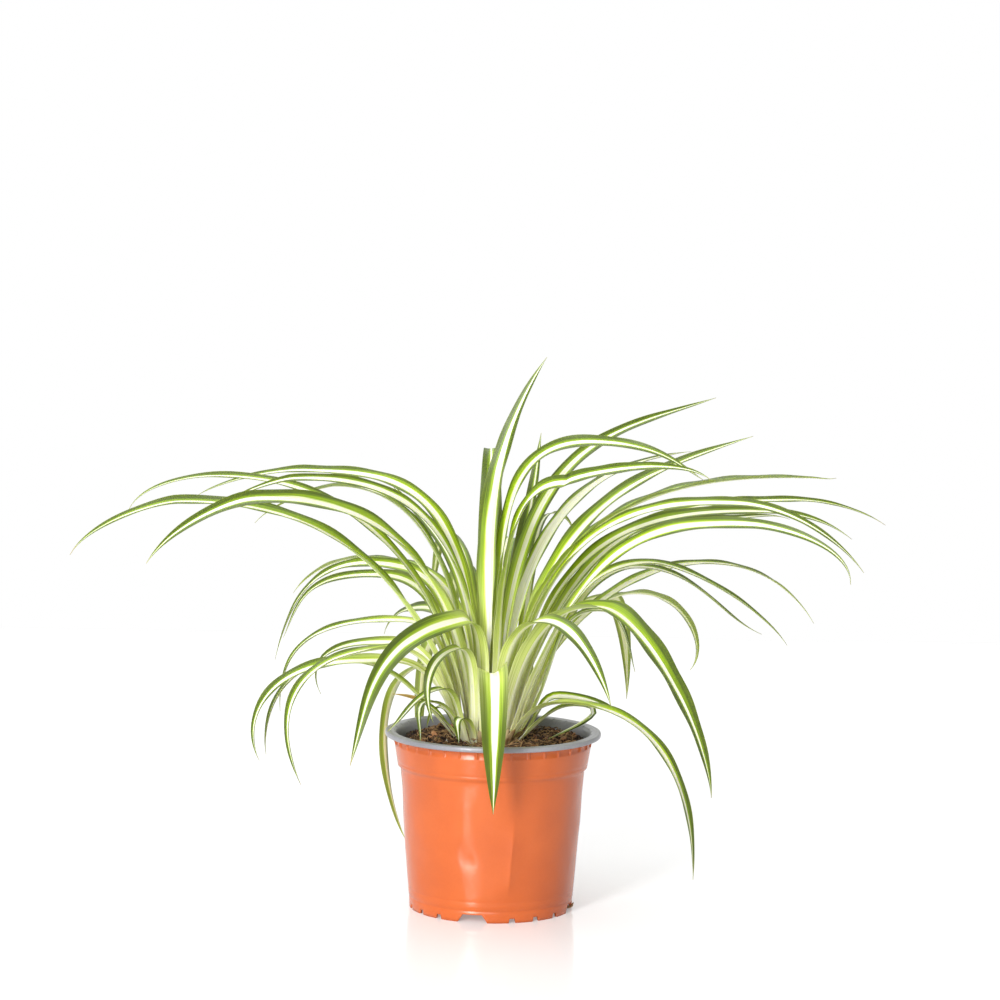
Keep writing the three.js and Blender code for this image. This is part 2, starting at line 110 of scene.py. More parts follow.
def mesh_piece(name, points, groups, material, smooth=True, slots=None, point_data=None, uv=None):
    """A mesh object from points in mm and groups of equal-sided faces, riding on the root body."""
    mesh = bpy.data.meshes.new(name)
    loops = np.concatenate([group.ravel() for group in groups]).astype(np.int32)
    sides = np.concatenate([np.full(len(group), group.shape[1]) for group in groups])
    mesh.vertices.add(len(points))
    mesh.vertices.foreach_set("co", (np.asarray(points) * MM).ravel().astype(np.float32))
    mesh.loops.add(len(loops))
    mesh.loops.foreach_set("vertex_index", loops)
    mesh.polygons.add(len(sides))
    mesh.polygons.foreach_set("loop_start", np.concatenate([[0], np.cumsum(sides)[:-1]]).astype(np.int32))
    for one in material if isinstance(material, list) else [material]:
        mesh.materials.append(one)
    if slots is not None:
        mesh.polygons.foreach_set("material_index", slots.astype(np.int32))
    mesh.polygons.foreach_set("use_smooth", np.full(len(sides), smooth))
    if uv is not None:
        layer = mesh.uv_layers.new(name="blade")
        layer.data.foreach_set("uv", uv[loops].ravel().astype(np.float32))
    for key, values in (point_data or {}).items():
        made = mesh.attributes.new(key, "FLOAT_VECTOR", "POINT")
        made.data.foreach_set("vector", values.ravel().astype(np.float32))
    mesh.update(calc_edges=True)
    mesh.validate()
    piece = new_object(name, mesh)
    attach(piece, "root")
    return piece


# %% [markdown]
# ## Colours and shader nodes
# A colour is written as the sRGB hex value that a painting program shows, and one function
# turns it to the linear light that the renderer works in. One helper adds a shader node with
# its settings and fills its sockets, in order or by name or number. A node given for a socket is
# linked from its first output in use, a hex colour is made linear, and any other value is set.

# %% Material helpers
MATH, RANGE, MIX = "ShaderNodeMath", "ShaderNodeMapRange", "ShaderNodeMix"
NOISE, BUMP, MAPPING = "ShaderNodeTexNoise", "ShaderNodeBump", "ShaderNodeMapping"
PLUS, MINUS, TIMES, TIMES_PLUS = [
    dict(operation=key) for key in ("ADD", "SUBTRACT", "MULTIPLY", "MULTIPLY_ADD")
]
SOFT = dict(interpolation_type="SMOOTHSTEP")
COLOUR = dict(data_type="RGBA")


def linear(hex_colour):
    """sRGB to linear: c / 12.92 below 0.04045, and ((c + 0.055) / 1.055) ^ 2.4 above."""
    c = np.array([int(hex_colour[i : i + 2], 16) for i in (1, 3, 5)]) / 255
    return (*np.where(c < 0.04045, c / 12.92, ((c + 0.055) / 1.055) ** 2.4), 1.0)


def add(tree, kind, sockets=(), **settings):
    """Adds a node, sets its properties, and fills its sockets."""
    made = tree.nodes.new(kind)
    for key, value in settings.items():
        setattr(made, key, value)
    for key, value in sockets.items() if isinstance(sockets, dict) else enumerate(sockets):
        if isinstance(value, bpy.types.Node):
            value = next(socket for socket in value.outputs if socket.enabled)
        if isinstance(value, bpy.types.NodeSocket):
            tree.links.new(value, made.inputs[key])
        else:
            made.inputs[key].default_value = linear(value) if isinstance(value, str) else value
    return made


def new_material(name, **surface):
    """A material with one Principled shader, whose constant values are set on its own sockets."""
    material = bpy.data.materials.new(name)
    material.use_nodes = True
    tree = material.node_tree
    shader = tree.nodes["Principled BSDF"]
    for key, value in surface.items():
        shader.inputs[key.replace("_", " ")].default_value = value
    return material, tree, shader


# %% [markdown]
# ## Seeded roughness
# Soil, dents and crumbs need heights that look random and come out the same each time. Value
# noise does it: random numbers stand on a square lattice, and a smooth blend joins them. Sums
# of it at smaller and smaller spacings give clods with crumbs on them.


# %% Value noise
LATTICE = 96  # points along each side of the lattice, before it repeats


def noise(x, y, spacing, seed):
    """Smooth random heights from -1 to 1, with lattice points that lie spacing mm apart."""
    lattice = np.random.default_rng(seed).uniform(-1, 1, (LATTICE + 1, LATTICE + 1))
    x, y = np.asarray(x) / spacing + LATTICE / 2, np.asarray(y) / spacing + LATTICE / 2
    i, j = np.floor(x).astype(int), np.floor(y).astype(int)
    fx, fy = x - i, y - j
    fx, fy = fx * fx * (3 - 2 * fx), fy * fy * (3 - 2 * fy)
    i, j = i % LATTICE, j % LATTICE
    low = lattice[i, j] * (1 - fx) + lattice[i + 1, j] * fx
    high = lattice[i, j + 1] * (1 - fx) + lattice[i + 1, j + 1] * fx
    return low * (1 - fy) + high * fy


def smooth(low, high, x):
    """0 below low, 1 above high, and 3 s^2 - 2 s^3 between."""
    s = np.clip((x - low) / (high - low), 0, 1)
    return s * s * (3 - 2 * s)


# %% [markdown]
# ## The pot
# A nursery pot is drawn from one warm sheet of polypropylene over a mould. The sheet has two
# layers, orange outside and grey inside, and the lip is rolled outwards, so the grey shows on
# it. The wall could be lathed and then cut, but here it is one closed surface of two
# parameters: a profile that runs up the outside, over the lip and down the inside, and an angle
# round the axis. The notches lift the foot's lower edge as a function of the angle, the ribs
# push the strip under the lip outwards, and the dents of a handled pot push the wall in or out.

# %% The pot's sizes
FOOT_RADIUS, FLOOR_UNDER, FLOOR_TOP = 45.4, 4.7, 6.0
BODY_LOW, BODY_TOP = 45.8, 51.5
COLLAR_BOTTOM, COLLAR_LOW, COLLAR_RADIUS = 79.0, 52.7, 54.7
STRIP_RADIUS, LIP_RADIUS, POT_HEIGHT = 54.3, 60.0, 99.0
RIB_COUNT, RIB_WIDTH, RIB_REACH, RIB_TURN = 36, 0.9, 0.8, 1.0
NOTCH_TURN, SMALL_STEPS = -12.6, (28, 46, 64)  # degrees from the front, and on from each big notch
BIG_NOTCH, SMALL_NOTCH = (17.0, 10.8, 4.4), (4.0, 3.0, 2.4)  # width below and above, height
NOTCHES = [(NOTCH_TURN + 90 * quarter, BIG_NOTCH) for quarter in range(4)] + [
    (NOTCH_TURN + 90 * quarter + step, SMALL_NOTCH) for quarter in range(4) for step in SMALL_STEPS
]
PLATE_RADIUS, DRAIN_COUNT, DRAIN_RING, DRAIN_RADIUS = 44.0, 8, 31, 3.6

# Profiles: radius and height of each bend, up the outside, over the lip and down the inside.
OUTSIDE = [
    (FOOT_RADIUS, 0), (FOOT_RADIUS + 0.1, 5.9), (FOOT_RADIUS - 0.15, 6.2), (BODY_LOW, 6.9),
    (BODY_LOW + 0.35, 11.0), (BODY_LOW + 0.28, 11.3), (BODY_LOW + 0.42, 11.7),
    (BODY_TOP - 0.35, 77.4), (BODY_TOP - 0.2, 77.8), (BODY_TOP, COLLAR_BOTTOM), (COLLAR_LOW, 79.5),
    (COLLAR_LOW + 0.3, 81.4), (COLLAR_LOW + 0.22, 81.6), (COLLAR_LOW + 0.4, 81.9),
    (COLLAR_RADIUS - 0.1, 91.2), (COLLAR_RADIUS - 0.05, 91.7), (STRIP_RADIUS, 92.1),
    (STRIP_RADIUS + 0.3, 96.0),
]
LIP = [
    (55.4, 96.2), (59.1, 96.25), (59.75, 96.5), (LIP_RADIUS, 97.1), (LIP_RADIUS, 98.1), (59.75, 98.75),
    (59.2, POT_HEIGHT), (58.3, 98.9), (57.9, 98.8), (57.4, 98.95), (56.4, 98.95), (56.0, 98.8),
    (55.5, 98.9), (54.8, 98.8), (54.2, 98.1), (53.5, 96.3),
]
INSIDE = [
    (52.6, 88.0), (51.8, 79.9), (50.7, 79.2), (50.6, 78.6), (45.0, 7.0), (44.7, 6.2),
    (43.2, FLOOR_TOP), (43.2, FLOOR_UNDER), (43.9, FLOOR_UNDER), (43.9, 0),
]
ORANGE_ROWS = 5  # the inside's last rows, under the floor, are orange again

MM_PER_DEGREE = 0.84  # along the wall, at the middle of its height
# Pressed and swollen places: mm across and up from the front's foot, reach across and up, depth.
PRESSED = [(2, 50, 11, 15, -1.0), (30, 40, 13, 26, -0.5), (-21, 22, 10, 13, 0.5)]
print("pot:", POT_HEIGHT, "mm high, lip", 2 * LIP_RADIUS, "mm across")


# %% Pot functions
def resampled(profile, step):
    """The profile's points with more between them, so that none lie further apart than step."""
    profile = np.array(profile, float)
    reach = np.hypot(*np.diff(profile, axis=0).T)
    counts = np.maximum(1, np.ceil(reach / step)).astype(int)
    parts = [a + (b - a) * np.arange(n)[:, None] / n for a, b, n in zip(profile, profile[1:], counts)]
    return np.concatenate(parts + [profile[-1:]])


def apart(angles, turn):
    """Signed degrees from turn to each angle, between -180 and 180."""
    return (angles - turn + 180) % 360 - 180


def notch_height(angles):
    """How far the foot's edge is lifted: a tapered gap's height, falling off to 0 at its sides."""
    lift = np.zeros_like(angles)
    for turn, (low, high, height) in NOTCHES:
        off = np.abs(np.radians(apart(angles, turn))) * FOOT_RADIUS
        lift = np.maximum(lift, height * np.clip((low / 2 - off) / ((low - high) / 2), 0, 1))
    return lift


def rib_reach(angles):
    """1 across each rib under the lip, and 0 between the ribs."""
    off = np.abs((angles - RIB_TURN + 180 / RIB_COUNT) % (360 / RIB_COUNT) - 180 / RIB_COUNT)
    return np.clip((RIB_WIDTH * 0.65 - np.radians(off) * STRIP_RADIUS) / (RIB_WIDTH * 0.3), 0, 1)


def dents(angles, z):
    """
    Small moves of the soft wall, which fade out towards the foot and the collar: pressed places,
    depth * e^-(x^2 + z^2), a slanting dimple, one upright fold, depth * e^-|x|, and waves of noise.
    """
    inside = smooth(9, 24, z) * (1 - smooth(64, 78, z))
    x = apart(angles, 0) * MM_PER_DEGREE
    fold_span = smooth(10, 24, z) * (1 - smooth(46, 62, z))
    moved = 1.6 * np.exp(-np.abs(x - 11 - 0.06 * (z - 38)) / 4.2) * fold_span
    moved -= 0.8 * np.exp(-((x + 13) ** 2 + (z - 35) ** 2) / 18.0 - (x + 13) * (z - 35) / 26.0)
    for across, up, wide, high, depth in PRESSED:
        moved += depth * np.exp(-(((x - across) / wide) ** 2) - ((z - up) / high) ** 2)
    moved += 0.28 * noise(x, z, 17.0, 3) + 0.10 * noise(x, z, 7.0, 4)
    moved += smooth(40, 70, np.abs(x)) * 0.35 * noise(x, z, 23.0, 5)
    return inside * moved


# %% The pot's wall
corner_angles = [
    turn + side * np.degrees(reach / 2 / FOOT_RADIUS)
    for turn, (low, high, _) in NOTCHES
    for side in (-1, 1)
    for reach in (low, high)
]
rib_angles = [
    RIB_TURN + 360 / RIB_COUNT * k + side * np.degrees(RIB_WIDTH * reach / STRIP_RADIUS)
    for k in range(RIB_COUNT)
    for side in (-1, 1)
    for reach in (0.35, 0.65)
]
all_angles = np.concatenate([np.arange(0, 360, 1.2), corner_angles, rib_angles])
angles = np.unique(np.round(np.mod(all_angles, 360), 3))
profile = np.concatenate([resampled(OUTSIDE, 2.2), resampled(LIP, 1.0), resampled(INSIDE, 5.0)])
is_foot = profile[:, 1] < FLOOR_UNDER + 0.1
in_strip = (profile[:, 1] > 92.0) & (profile[:, 0] > 54.2) & (profile[:, 0] < 55)
outside_rows = len(resampled(OUTSIDE, 2.2))

level_radius, level_height = profile[:, :1], profile[:, 1:]
radius = level_radius + dents(angles[None, :], level_height)
radius = radius + RIB_REACH * rib_reach(angles) * in_strip[:, None]
lifted = notch_height(angles) + level_height * (1 - notch_height(angles) / FLOOR_UNDER)
height = np.where(is_foot[:, None], np.maximum(lifted, level_height), level_height)
turn = np.radians(angles)[None, :]
wall_points = np.stack([radius * np.sin(turn), -radius * np.cos(turn), height], -1).reshape(-1, 3)
wall_faces = turned_outwards(wall_points, quads(len(profile), len(angles), wrap_rows=True))
wall_row = wall_faces.min(axis=1) // len(angles)
is_grey = (wall_row >= outside_rows) & (wall_row < len(profile) - ORANGE_ROWS)
print("pot wall:", len(wall_faces), "quads, from", wall_points.min(0), "to", wall_points.max(0))

# %% [markdown]
# ## The plastic of the pot
# Thermoformed polypropylene is satin: the sheet's skin is smooth, and a faint orange peel
# softens every highlight. Both layers cloud softly between two near tones. The grey layer has
# recycled plastic in it, so its fine specks are stronger.


# %% Pot materials
def moulded_plastic(name, base, deep, peel_mm, speckle, roughness):
    """Satin thermoformed sheet: two near tones by soft noise, fine specks and an orange peel."""
    material, tree, shader = new_material(name, Roughness=roughness, IOR=1.49)
    place = add(tree, "ShaderNodeTexCoord").outputs["Object"]
    cloud = add(tree, NOISE, {"Vector": place, "Scale": 38.0, "Detail": 4.0})
    fleck = add(tree, NOISE, {"Vector": place, "Scale": 900.0, "Detail": 2.0})
    share = add(tree, MATH, (fleck, speckle, cloud), **TIMES_PLUS)
    spread = add(tree, RANGE, (share, 0.25, 0.9))
    tone = add(tree, MIX, {0: spread, 6: base, 7: deep}, **COLOUR)
    peel = add(tree, NOISE, {"Vector": place, "Scale": 1000 / peel_mm, "Detail": 2.0})
    bump = add(tree, BUMP, {"Height": peel, "Strength": 0.10, "Distance": 0.0004})
    tree.links.new(tone.outputs[2], shader.inputs["Base Color"])
    tree.links.new(bump.outputs[0], shader.inputs["Normal"])
    return material


ORANGE_PP = moulded_plastic("orange_polypropylene_thermoformed", "#C35D23", "#B4521E", 1.6, 0.25, 0.25)
GREY_PP = moulded_plastic("grey_recycled_polypropylene_thermoformed", "#98989C", "#7E7E84", 1.2, 0.5, 0.28)
pot = mesh_piece("pot_wall", wall_points, [wall_faces], [ORANGE_PP, GREY_PP], slots=is_grey)
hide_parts("pot")

# %% [markdown]
# ## The pot's floor
# The floor is a flat disc with eight drain holes. A filled 2D curve is the simplest way to get
# a plate with holes: the circles inside the rim become holes by themselves. The curve gets its
# thickness from extrude, and is then made a mesh like every other piece.


# %% The floor plate
def circle(curve, x, y, r, count):
    """Adds a closed circle of count points to a 2D curve, at (x, y), in metres."""
    spline = curve.splines.new("POLY")
    spline.points.add(count - 1)
    a = np.linspace(0, 2 * np.pi, count, endpoint=False)
    flat = np.stack([x + r * np.cos(a), y + r * np.sin(a), 0 * a, 0 * a + 1], 1)
    spline.points.foreach_set("co", (flat * [MM, MM, 1, 1]).ravel())
    spline.use_cyclic_u = True


plate = bpy.data.curves.new("pot_floor_outline", "CURVE")
plate.dimensions = "2D"
plate.fill_mode = "BOTH"
plate.extrude = (FLOOR_TOP - FLOOR_UNDER) / 2 * MM
circle(plate, 0, 0, PLATE_RADIUS, 128)
for k in range(DRAIN_COUNT):
    hole_turn = np.radians(NOTCH_TURN + 360 / DRAIN_COUNT * k)
    circle(plate, DRAIN_RING * np.sin(hole_turn), -DRAIN_RING * np.cos(hole_turn), DRAIN_RADIUS, 28)
drawn = new_object("pot_floor_outline", plate)
plate_mesh = bpy.data.meshes.new_from_object(drawn.evaluated_get(bpy.context.evaluated_depsgraph_get()))
bpy.data.objects.remove(drawn)
plate_mesh.transform(Matrix.Translation((0, 0, (FLOOR_TOP + FLOOR_UNDER) / 2 * MM)))
plate_mesh.materials.clear()
plate_mesh.materials.append(ORANGE_PP)
pot_floor = new_object("pot_floor", plate_mesh)
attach(pot_floor, "root")
print("pot floor:", len(plate_mesh.polygons), "faces")

# %% [markdown]
# ## The potting mix
# Potting mix is peat and coir: dark crumbs up to a couple of millimetres, chips of bark, pale
# fibres, and now and then a white grain of perlite. The bed is a solid of revolution with a
# rough top. The crumbs, chips, fibres and grains are separate small shapes, all made at once
# as arrays and gathered in one mesh for each kind.

# %% The soil's surface
CROWN_X, CROWN_RADIUS, CROWN_TOP = -3.0, 18.0, 94.0
SOIL_LEVEL, SOIL_RADIUS = 92.6, 51.4


def soil_height(x, y):
    """Level 92.6 mm, broad waves of 1.1 mm, and noise of 7, 3 and 1.4 mm spacing on them."""
    clods = np.sin(x * 0.21 + 1.3) * np.cos(y * 0.24 - 0.4)
    crumbs = np.sin(x * 0.63 + y * 0.41) * np.cos(y * 0.57 - x * 0.2)
    broad = 1.1 * (0.6 * clods + 0.4 * crumbs)
    fine = 1.3 * noise(x, y, 7.0, 11) + 0.8 * noise(x, y, 3.0, 12) + 0.45 * noise(x, y, 1.4, 13)
    return SOIL_LEVEL + broad + fine


rings, segments = 110, 300
side = np.array([(0.0, 6.3), (44.4, 6.3), (50.2, 78.8), (51.2, 81.0)])
spoke = np.linspace(SOIL_RADIUS, 0.05, rings)
bed_turn = np.linspace(0, 2 * np.pi, segments, endpoint=False)
top_x, top_y = spoke[:, None] * np.cos(bed_turn), spoke[:, None] * np.sin(bed_turn)
side_x = np.maximum(side[:, :1], 0.05) * np.cos(bed_turn)
side_y = np.maximum(side[:, :1], 0.05) * np.sin(bed_turn)
bed = np.concatenate([
    np.stack([side_x, side_y, np.repeat(side[:, 1:], segments, 1)], -1),
    np.stack([top_x, top_y, soil_height(top_x, top_y)], -1),
])
bed_points = bed.reshape(-1, 3)
bed_rows = len(side) + rings
caps = np.stack([np.arange(segments)[::-1], (bed_rows - 1) * segments + np.arange(segments)])
bed_faces = turned_outwards(bed_points, quads(bed_rows, segments))
print("soil bed:", len(bed_faces), "quads")


# %% Soil materials
def crumbly(name, dark, light, size_mm, roughness, bump_mm):
    """Broken organic matter: two tones in grains of one size, with a rough bump of the same grain."""
    material, tree, shader = new_material(name, Roughness=roughness, IOR=1.45)
    place = add(tree, "ShaderNodeTexCoord").outputs["Object"]
    grain = add(tree, NOISE, {"Vector": place, "Scale": 1000 / size_mm, "Detail": 5.0})
    lot = add(tree, "ShaderNodeAttribute", attribute_name="lot").outputs["Fac"]
    share = add(tree, MATH, (grain, lot), **PLUS)
    spread = add(tree, RANGE, (share, 0.25, 0.8), **SOFT)
    tone = add(tree, MIX, {0: spread, 6: dark, 7: light}, **COLOUR)
    bump = add(tree, BUMP, {"Height": grain, "Strength": 0.8, "Distance": bump_mm * MM})
    tree.links.new(tone.outputs[2], shader.inputs["Base Color"])
    tree.links.new(bump.outputs[0], shader.inputs["Normal"])
    return material


PEAT = crumbly("damp_peat_and_coir_mix", "#170F09", "#3E2A1C", 2.2, 0.9, 0.5)
CRUMB = crumbly("peat_crumbs_sieved", "#190F09", "#4C3022", 1.4, 0.92, 0.3)
BARK = crumbly("pine_bark_chipped", "#3A261A", "#9C6C46", 3.0, 0.6, 0.3)
COIR = crumbly("coconut_fibre_combed", "#4E361D", "#AA865A", 4.0, 0.7, 0.1)
PERLITE = crumbly("perlite_expanded", "#D9D4C8", "#FBFAF5", 1.0, 0.7, 0.2)
soil = mesh_piece("soil_bed", bed_points, [bed_faces, caps], PEAT)
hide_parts("soil")


# %% [markdown]
# ## Crumbs, chips and fibres
# One lump is a sphere of three rings between two poles. Thousands of crumbs are the same lump,
# stretched, turned and dented by random numbers, as one array of shape crumbs x points x 3.
# A fibre is a four-sided tube along a random bent line.


# %% Litter functions
DENTED = 0.22  # how far a lump's points move in or out, as a share of their distance


def lump_template(around=6):
    """Unit sphere: two poles and three rings; triangles at the poles and quads between rings."""
    a = np.linspace(0, 2 * np.pi, around, endpoint=False)
    rise = np.radians([-45, 0, 45])
    ring = np.stack([
        np.cos(rise)[:, None] * np.cos(a), np.cos(rise)[:, None] * np.sin(a),
        np.repeat(np.sin(rise)[:, None], around, 1),
    ], -1).reshape(-1, 3)
    points = np.concatenate([ring, [[0, 0, -1], [0, 0, 1]]])
    k = np.arange(around)
    south = np.stack([(k + 1) % around, k, np.full(around, 3 * around)], 1)
    north = np.stack([2 * around + k, 2 * around + (k + 1) % around, np.full(around, 3 * around + 1)], 1)
    return points, quads(3, around), np.concatenate([south, north])


def repeated(faces, copies, size):
    """The face list of one shape, repeated for every copy."""
    return (faces[None] + (np.arange(copies) * size)[:, None, None]).reshape(-1, faces.shape[1])


def turns(rng, count):
    """Random rotations: the orthogonal part of random 3 x 3 matrices, without mirror images."""
    q, _ = np.linalg.qr(rng.normal(size=(count, 3, 3)))
    q[np.linalg.det(q) < 0, :, 0] *= -1
    return q


def on_the_soil(rng, count, inner=15.5, outer=50.0):
    """Random places on the ring between the crown and the pot: radius by square root, so even."""
    r = np.sqrt(rng.uniform(inner**2, outer**2, count))
    a = rng.uniform(0, 2 * np.pi, count)
    x, y = r * np.cos(a), r * np.sin(a)
    keep = np.hypot(x - CROWN_X, y) > CROWN_RADIUS - 3
    return x[keep], y[keep]


def litter(name, material, count, sizes, flat, sunk, seed):
    """Stretched, dented and turned lumps, resting on the soil by a share of their own height."""
    rng = np.random.default_rng(seed)
    x, y = on_the_soil(rng, count)
    points, sides, ends = lump_template()
    n, size = len(x), len(points)
    reach = rng.uniform(*sizes, (n, 1, 1)) * np.stack(
        [np.ones(n), rng.uniform(0.6, 1.0, n), rng.uniform(*flat, n)], -1
    )[:, None, :]
    dented = points[None] * (1 + rng.uniform(-DENTED, DENTED, (n, size, 1))) * reach
    tilt = turns(rng, n)
    lying = 0.35 * tilt + 0.65 * np.eye(3)
    spin = rng.uniform(0, 2 * np.pi, n)
    around = np.zeros((n, 3, 3))
    around[:, 0, 0] = around[:, 1, 1] = np.cos(spin)
    around[:, 0, 1], around[:, 1, 0], around[:, 2, 2] = -np.sin(spin), np.sin(spin), 1
    placed = np.einsum("nij,nkj->nki", around @ lying, dented)
    base = np.stack([x, y, soil_height(x, y) + (1 - sunk) * reach[:, 0, 2]], -1)
    placed += base[:, None]
    lot = np.repeat(rng.uniform(-0.2, 0.25, (n, 1, 1)), size, 1) * np.ones(3)
    return mesh_piece(
        name, placed.reshape(-1, 3), [repeated(sides, n, size), repeated(ends, n, size)], material,
        smooth=False, point_data={"lot": lot.reshape(-1, 3)},
    )


def strands(paths, thickness, sides):
    """Tubes along many paths: each ring lies square to its path, and shrinks at both ends."""
    n, k, _ = paths.shape
    along = np.gradient(paths, axis=1)
    along /= np.linalg.norm(along, axis=-1, keepdims=True)
    across = np.cross(along, [0.0, 0.0, 1.0]) + [1e-6, 0, 0]
    across /= np.linalg.norm(across, axis=-1, keepdims=True)
    over = np.cross(across, along)
    a = np.linspace(0, 2 * np.pi, sides, endpoint=False)
    taper = np.sin(np.linspace(0.12, np.pi - 0.12, k)) ** 0.5
    r = (thickness[:, None] / 2 * taper)[:, :, None, None]
    ring = np.cos(a)[:, None] * across[:, :, None] + np.sin(a)[:, None] * over[:, :, None]
    points = (paths[:, :, None] + r * ring).reshape(-1, 3)
    start = np.arange(sides)[None]
    ends = np.concatenate([start[:, ::-1], start + (k - 1) * sides])
    return points, [repeated(quads(k, sides), n, k * sides), repeated(ends, n, k * sides)]


# %% Scatter the litter
crumb_piece = litter("soil_crumbs", CRUMB, 2300, (0.5, 1.7), (0.5, 1.0), 0.35, 21)
chip_piece = litter("bark_chips", BARK, 230, (1.4, 4.6), (0.2, 0.45), 0.2, 22)
grain_piece = litter("perlite_grains", PERLITE, 16, (0.6, 1.4), (0.7, 1.0), 0.4, 23)

FIBRE_COUNT, FIBRE_STEPS, FIBRE_SIDES = 900, 9, 4
rng = np.random.default_rng(24)
fx, fy = on_the_soil(rng, FIBRE_COUNT)
steps = np.linspace(0, 1, FIBRE_STEPS)
heading = rng.uniform(0, 2 * np.pi, len(fx))[:, None] + rng.uniform(-1.6, 1.6, len(fx))[:, None] * steps
reach = rng.uniform(4, 15, len(fx))[:, None]
px = fx[:, None] + np.cumsum(np.cos(heading), 1) * reach / FIBRE_STEPS
py = fy[:, None] + np.cumsum(np.sin(heading), 1) * reach / FIBRE_STEPS
hop = rng.uniform(0.1, 2.2, len(fx))[:, None] * np.sin(np.pi * steps)
inside_pot = (np.hypot(px, py) < 50.5).all(1)
fibre_paths = np.stack([px, py, soil_height(px, py) + 0.5 + hop], -1)[inside_pot]
thickness = rng.uniform(0.25, 0.7, len(fibre_paths))
fibre_points, fibre_faces = strands(fibre_paths, thickness, FIBRE_SIDES)
fibre_lot = np.repeat(rng.uniform(-0.3, 0.3, len(fibre_paths)), FIBRE_STEPS * FIBRE_SIDES)
lot = fibre_lot[:, None] * np.ones(3)
fibre_piece = mesh_piece("coir_fibres", fibre_points, fibre_faces, COIR, point_data={"lot": lot})
litter_pieces = (crumb_piece, chip_piece, grain_piece, fibre_piece)
print("litter:", [(piece.name, len(piece.data.polygons)) for piece in litter_pieces])

# %% [markdown]
# ## How a leaf grows
# A spider plant's leaf leaves the crown steeply, arches over under its own weight, and ends in
# a fine tip. Its midrib lies in an upright plane through the crown's axis, and two cubic curves
# describe it: one up to the crest, one down to the tip. Its width grows from the base, is
# greatest near the middle and tapers away. It is folded along the midrib like a gutter, which
# is what lets so thin a strip carry its own length, and it rolls a little about the midrib.

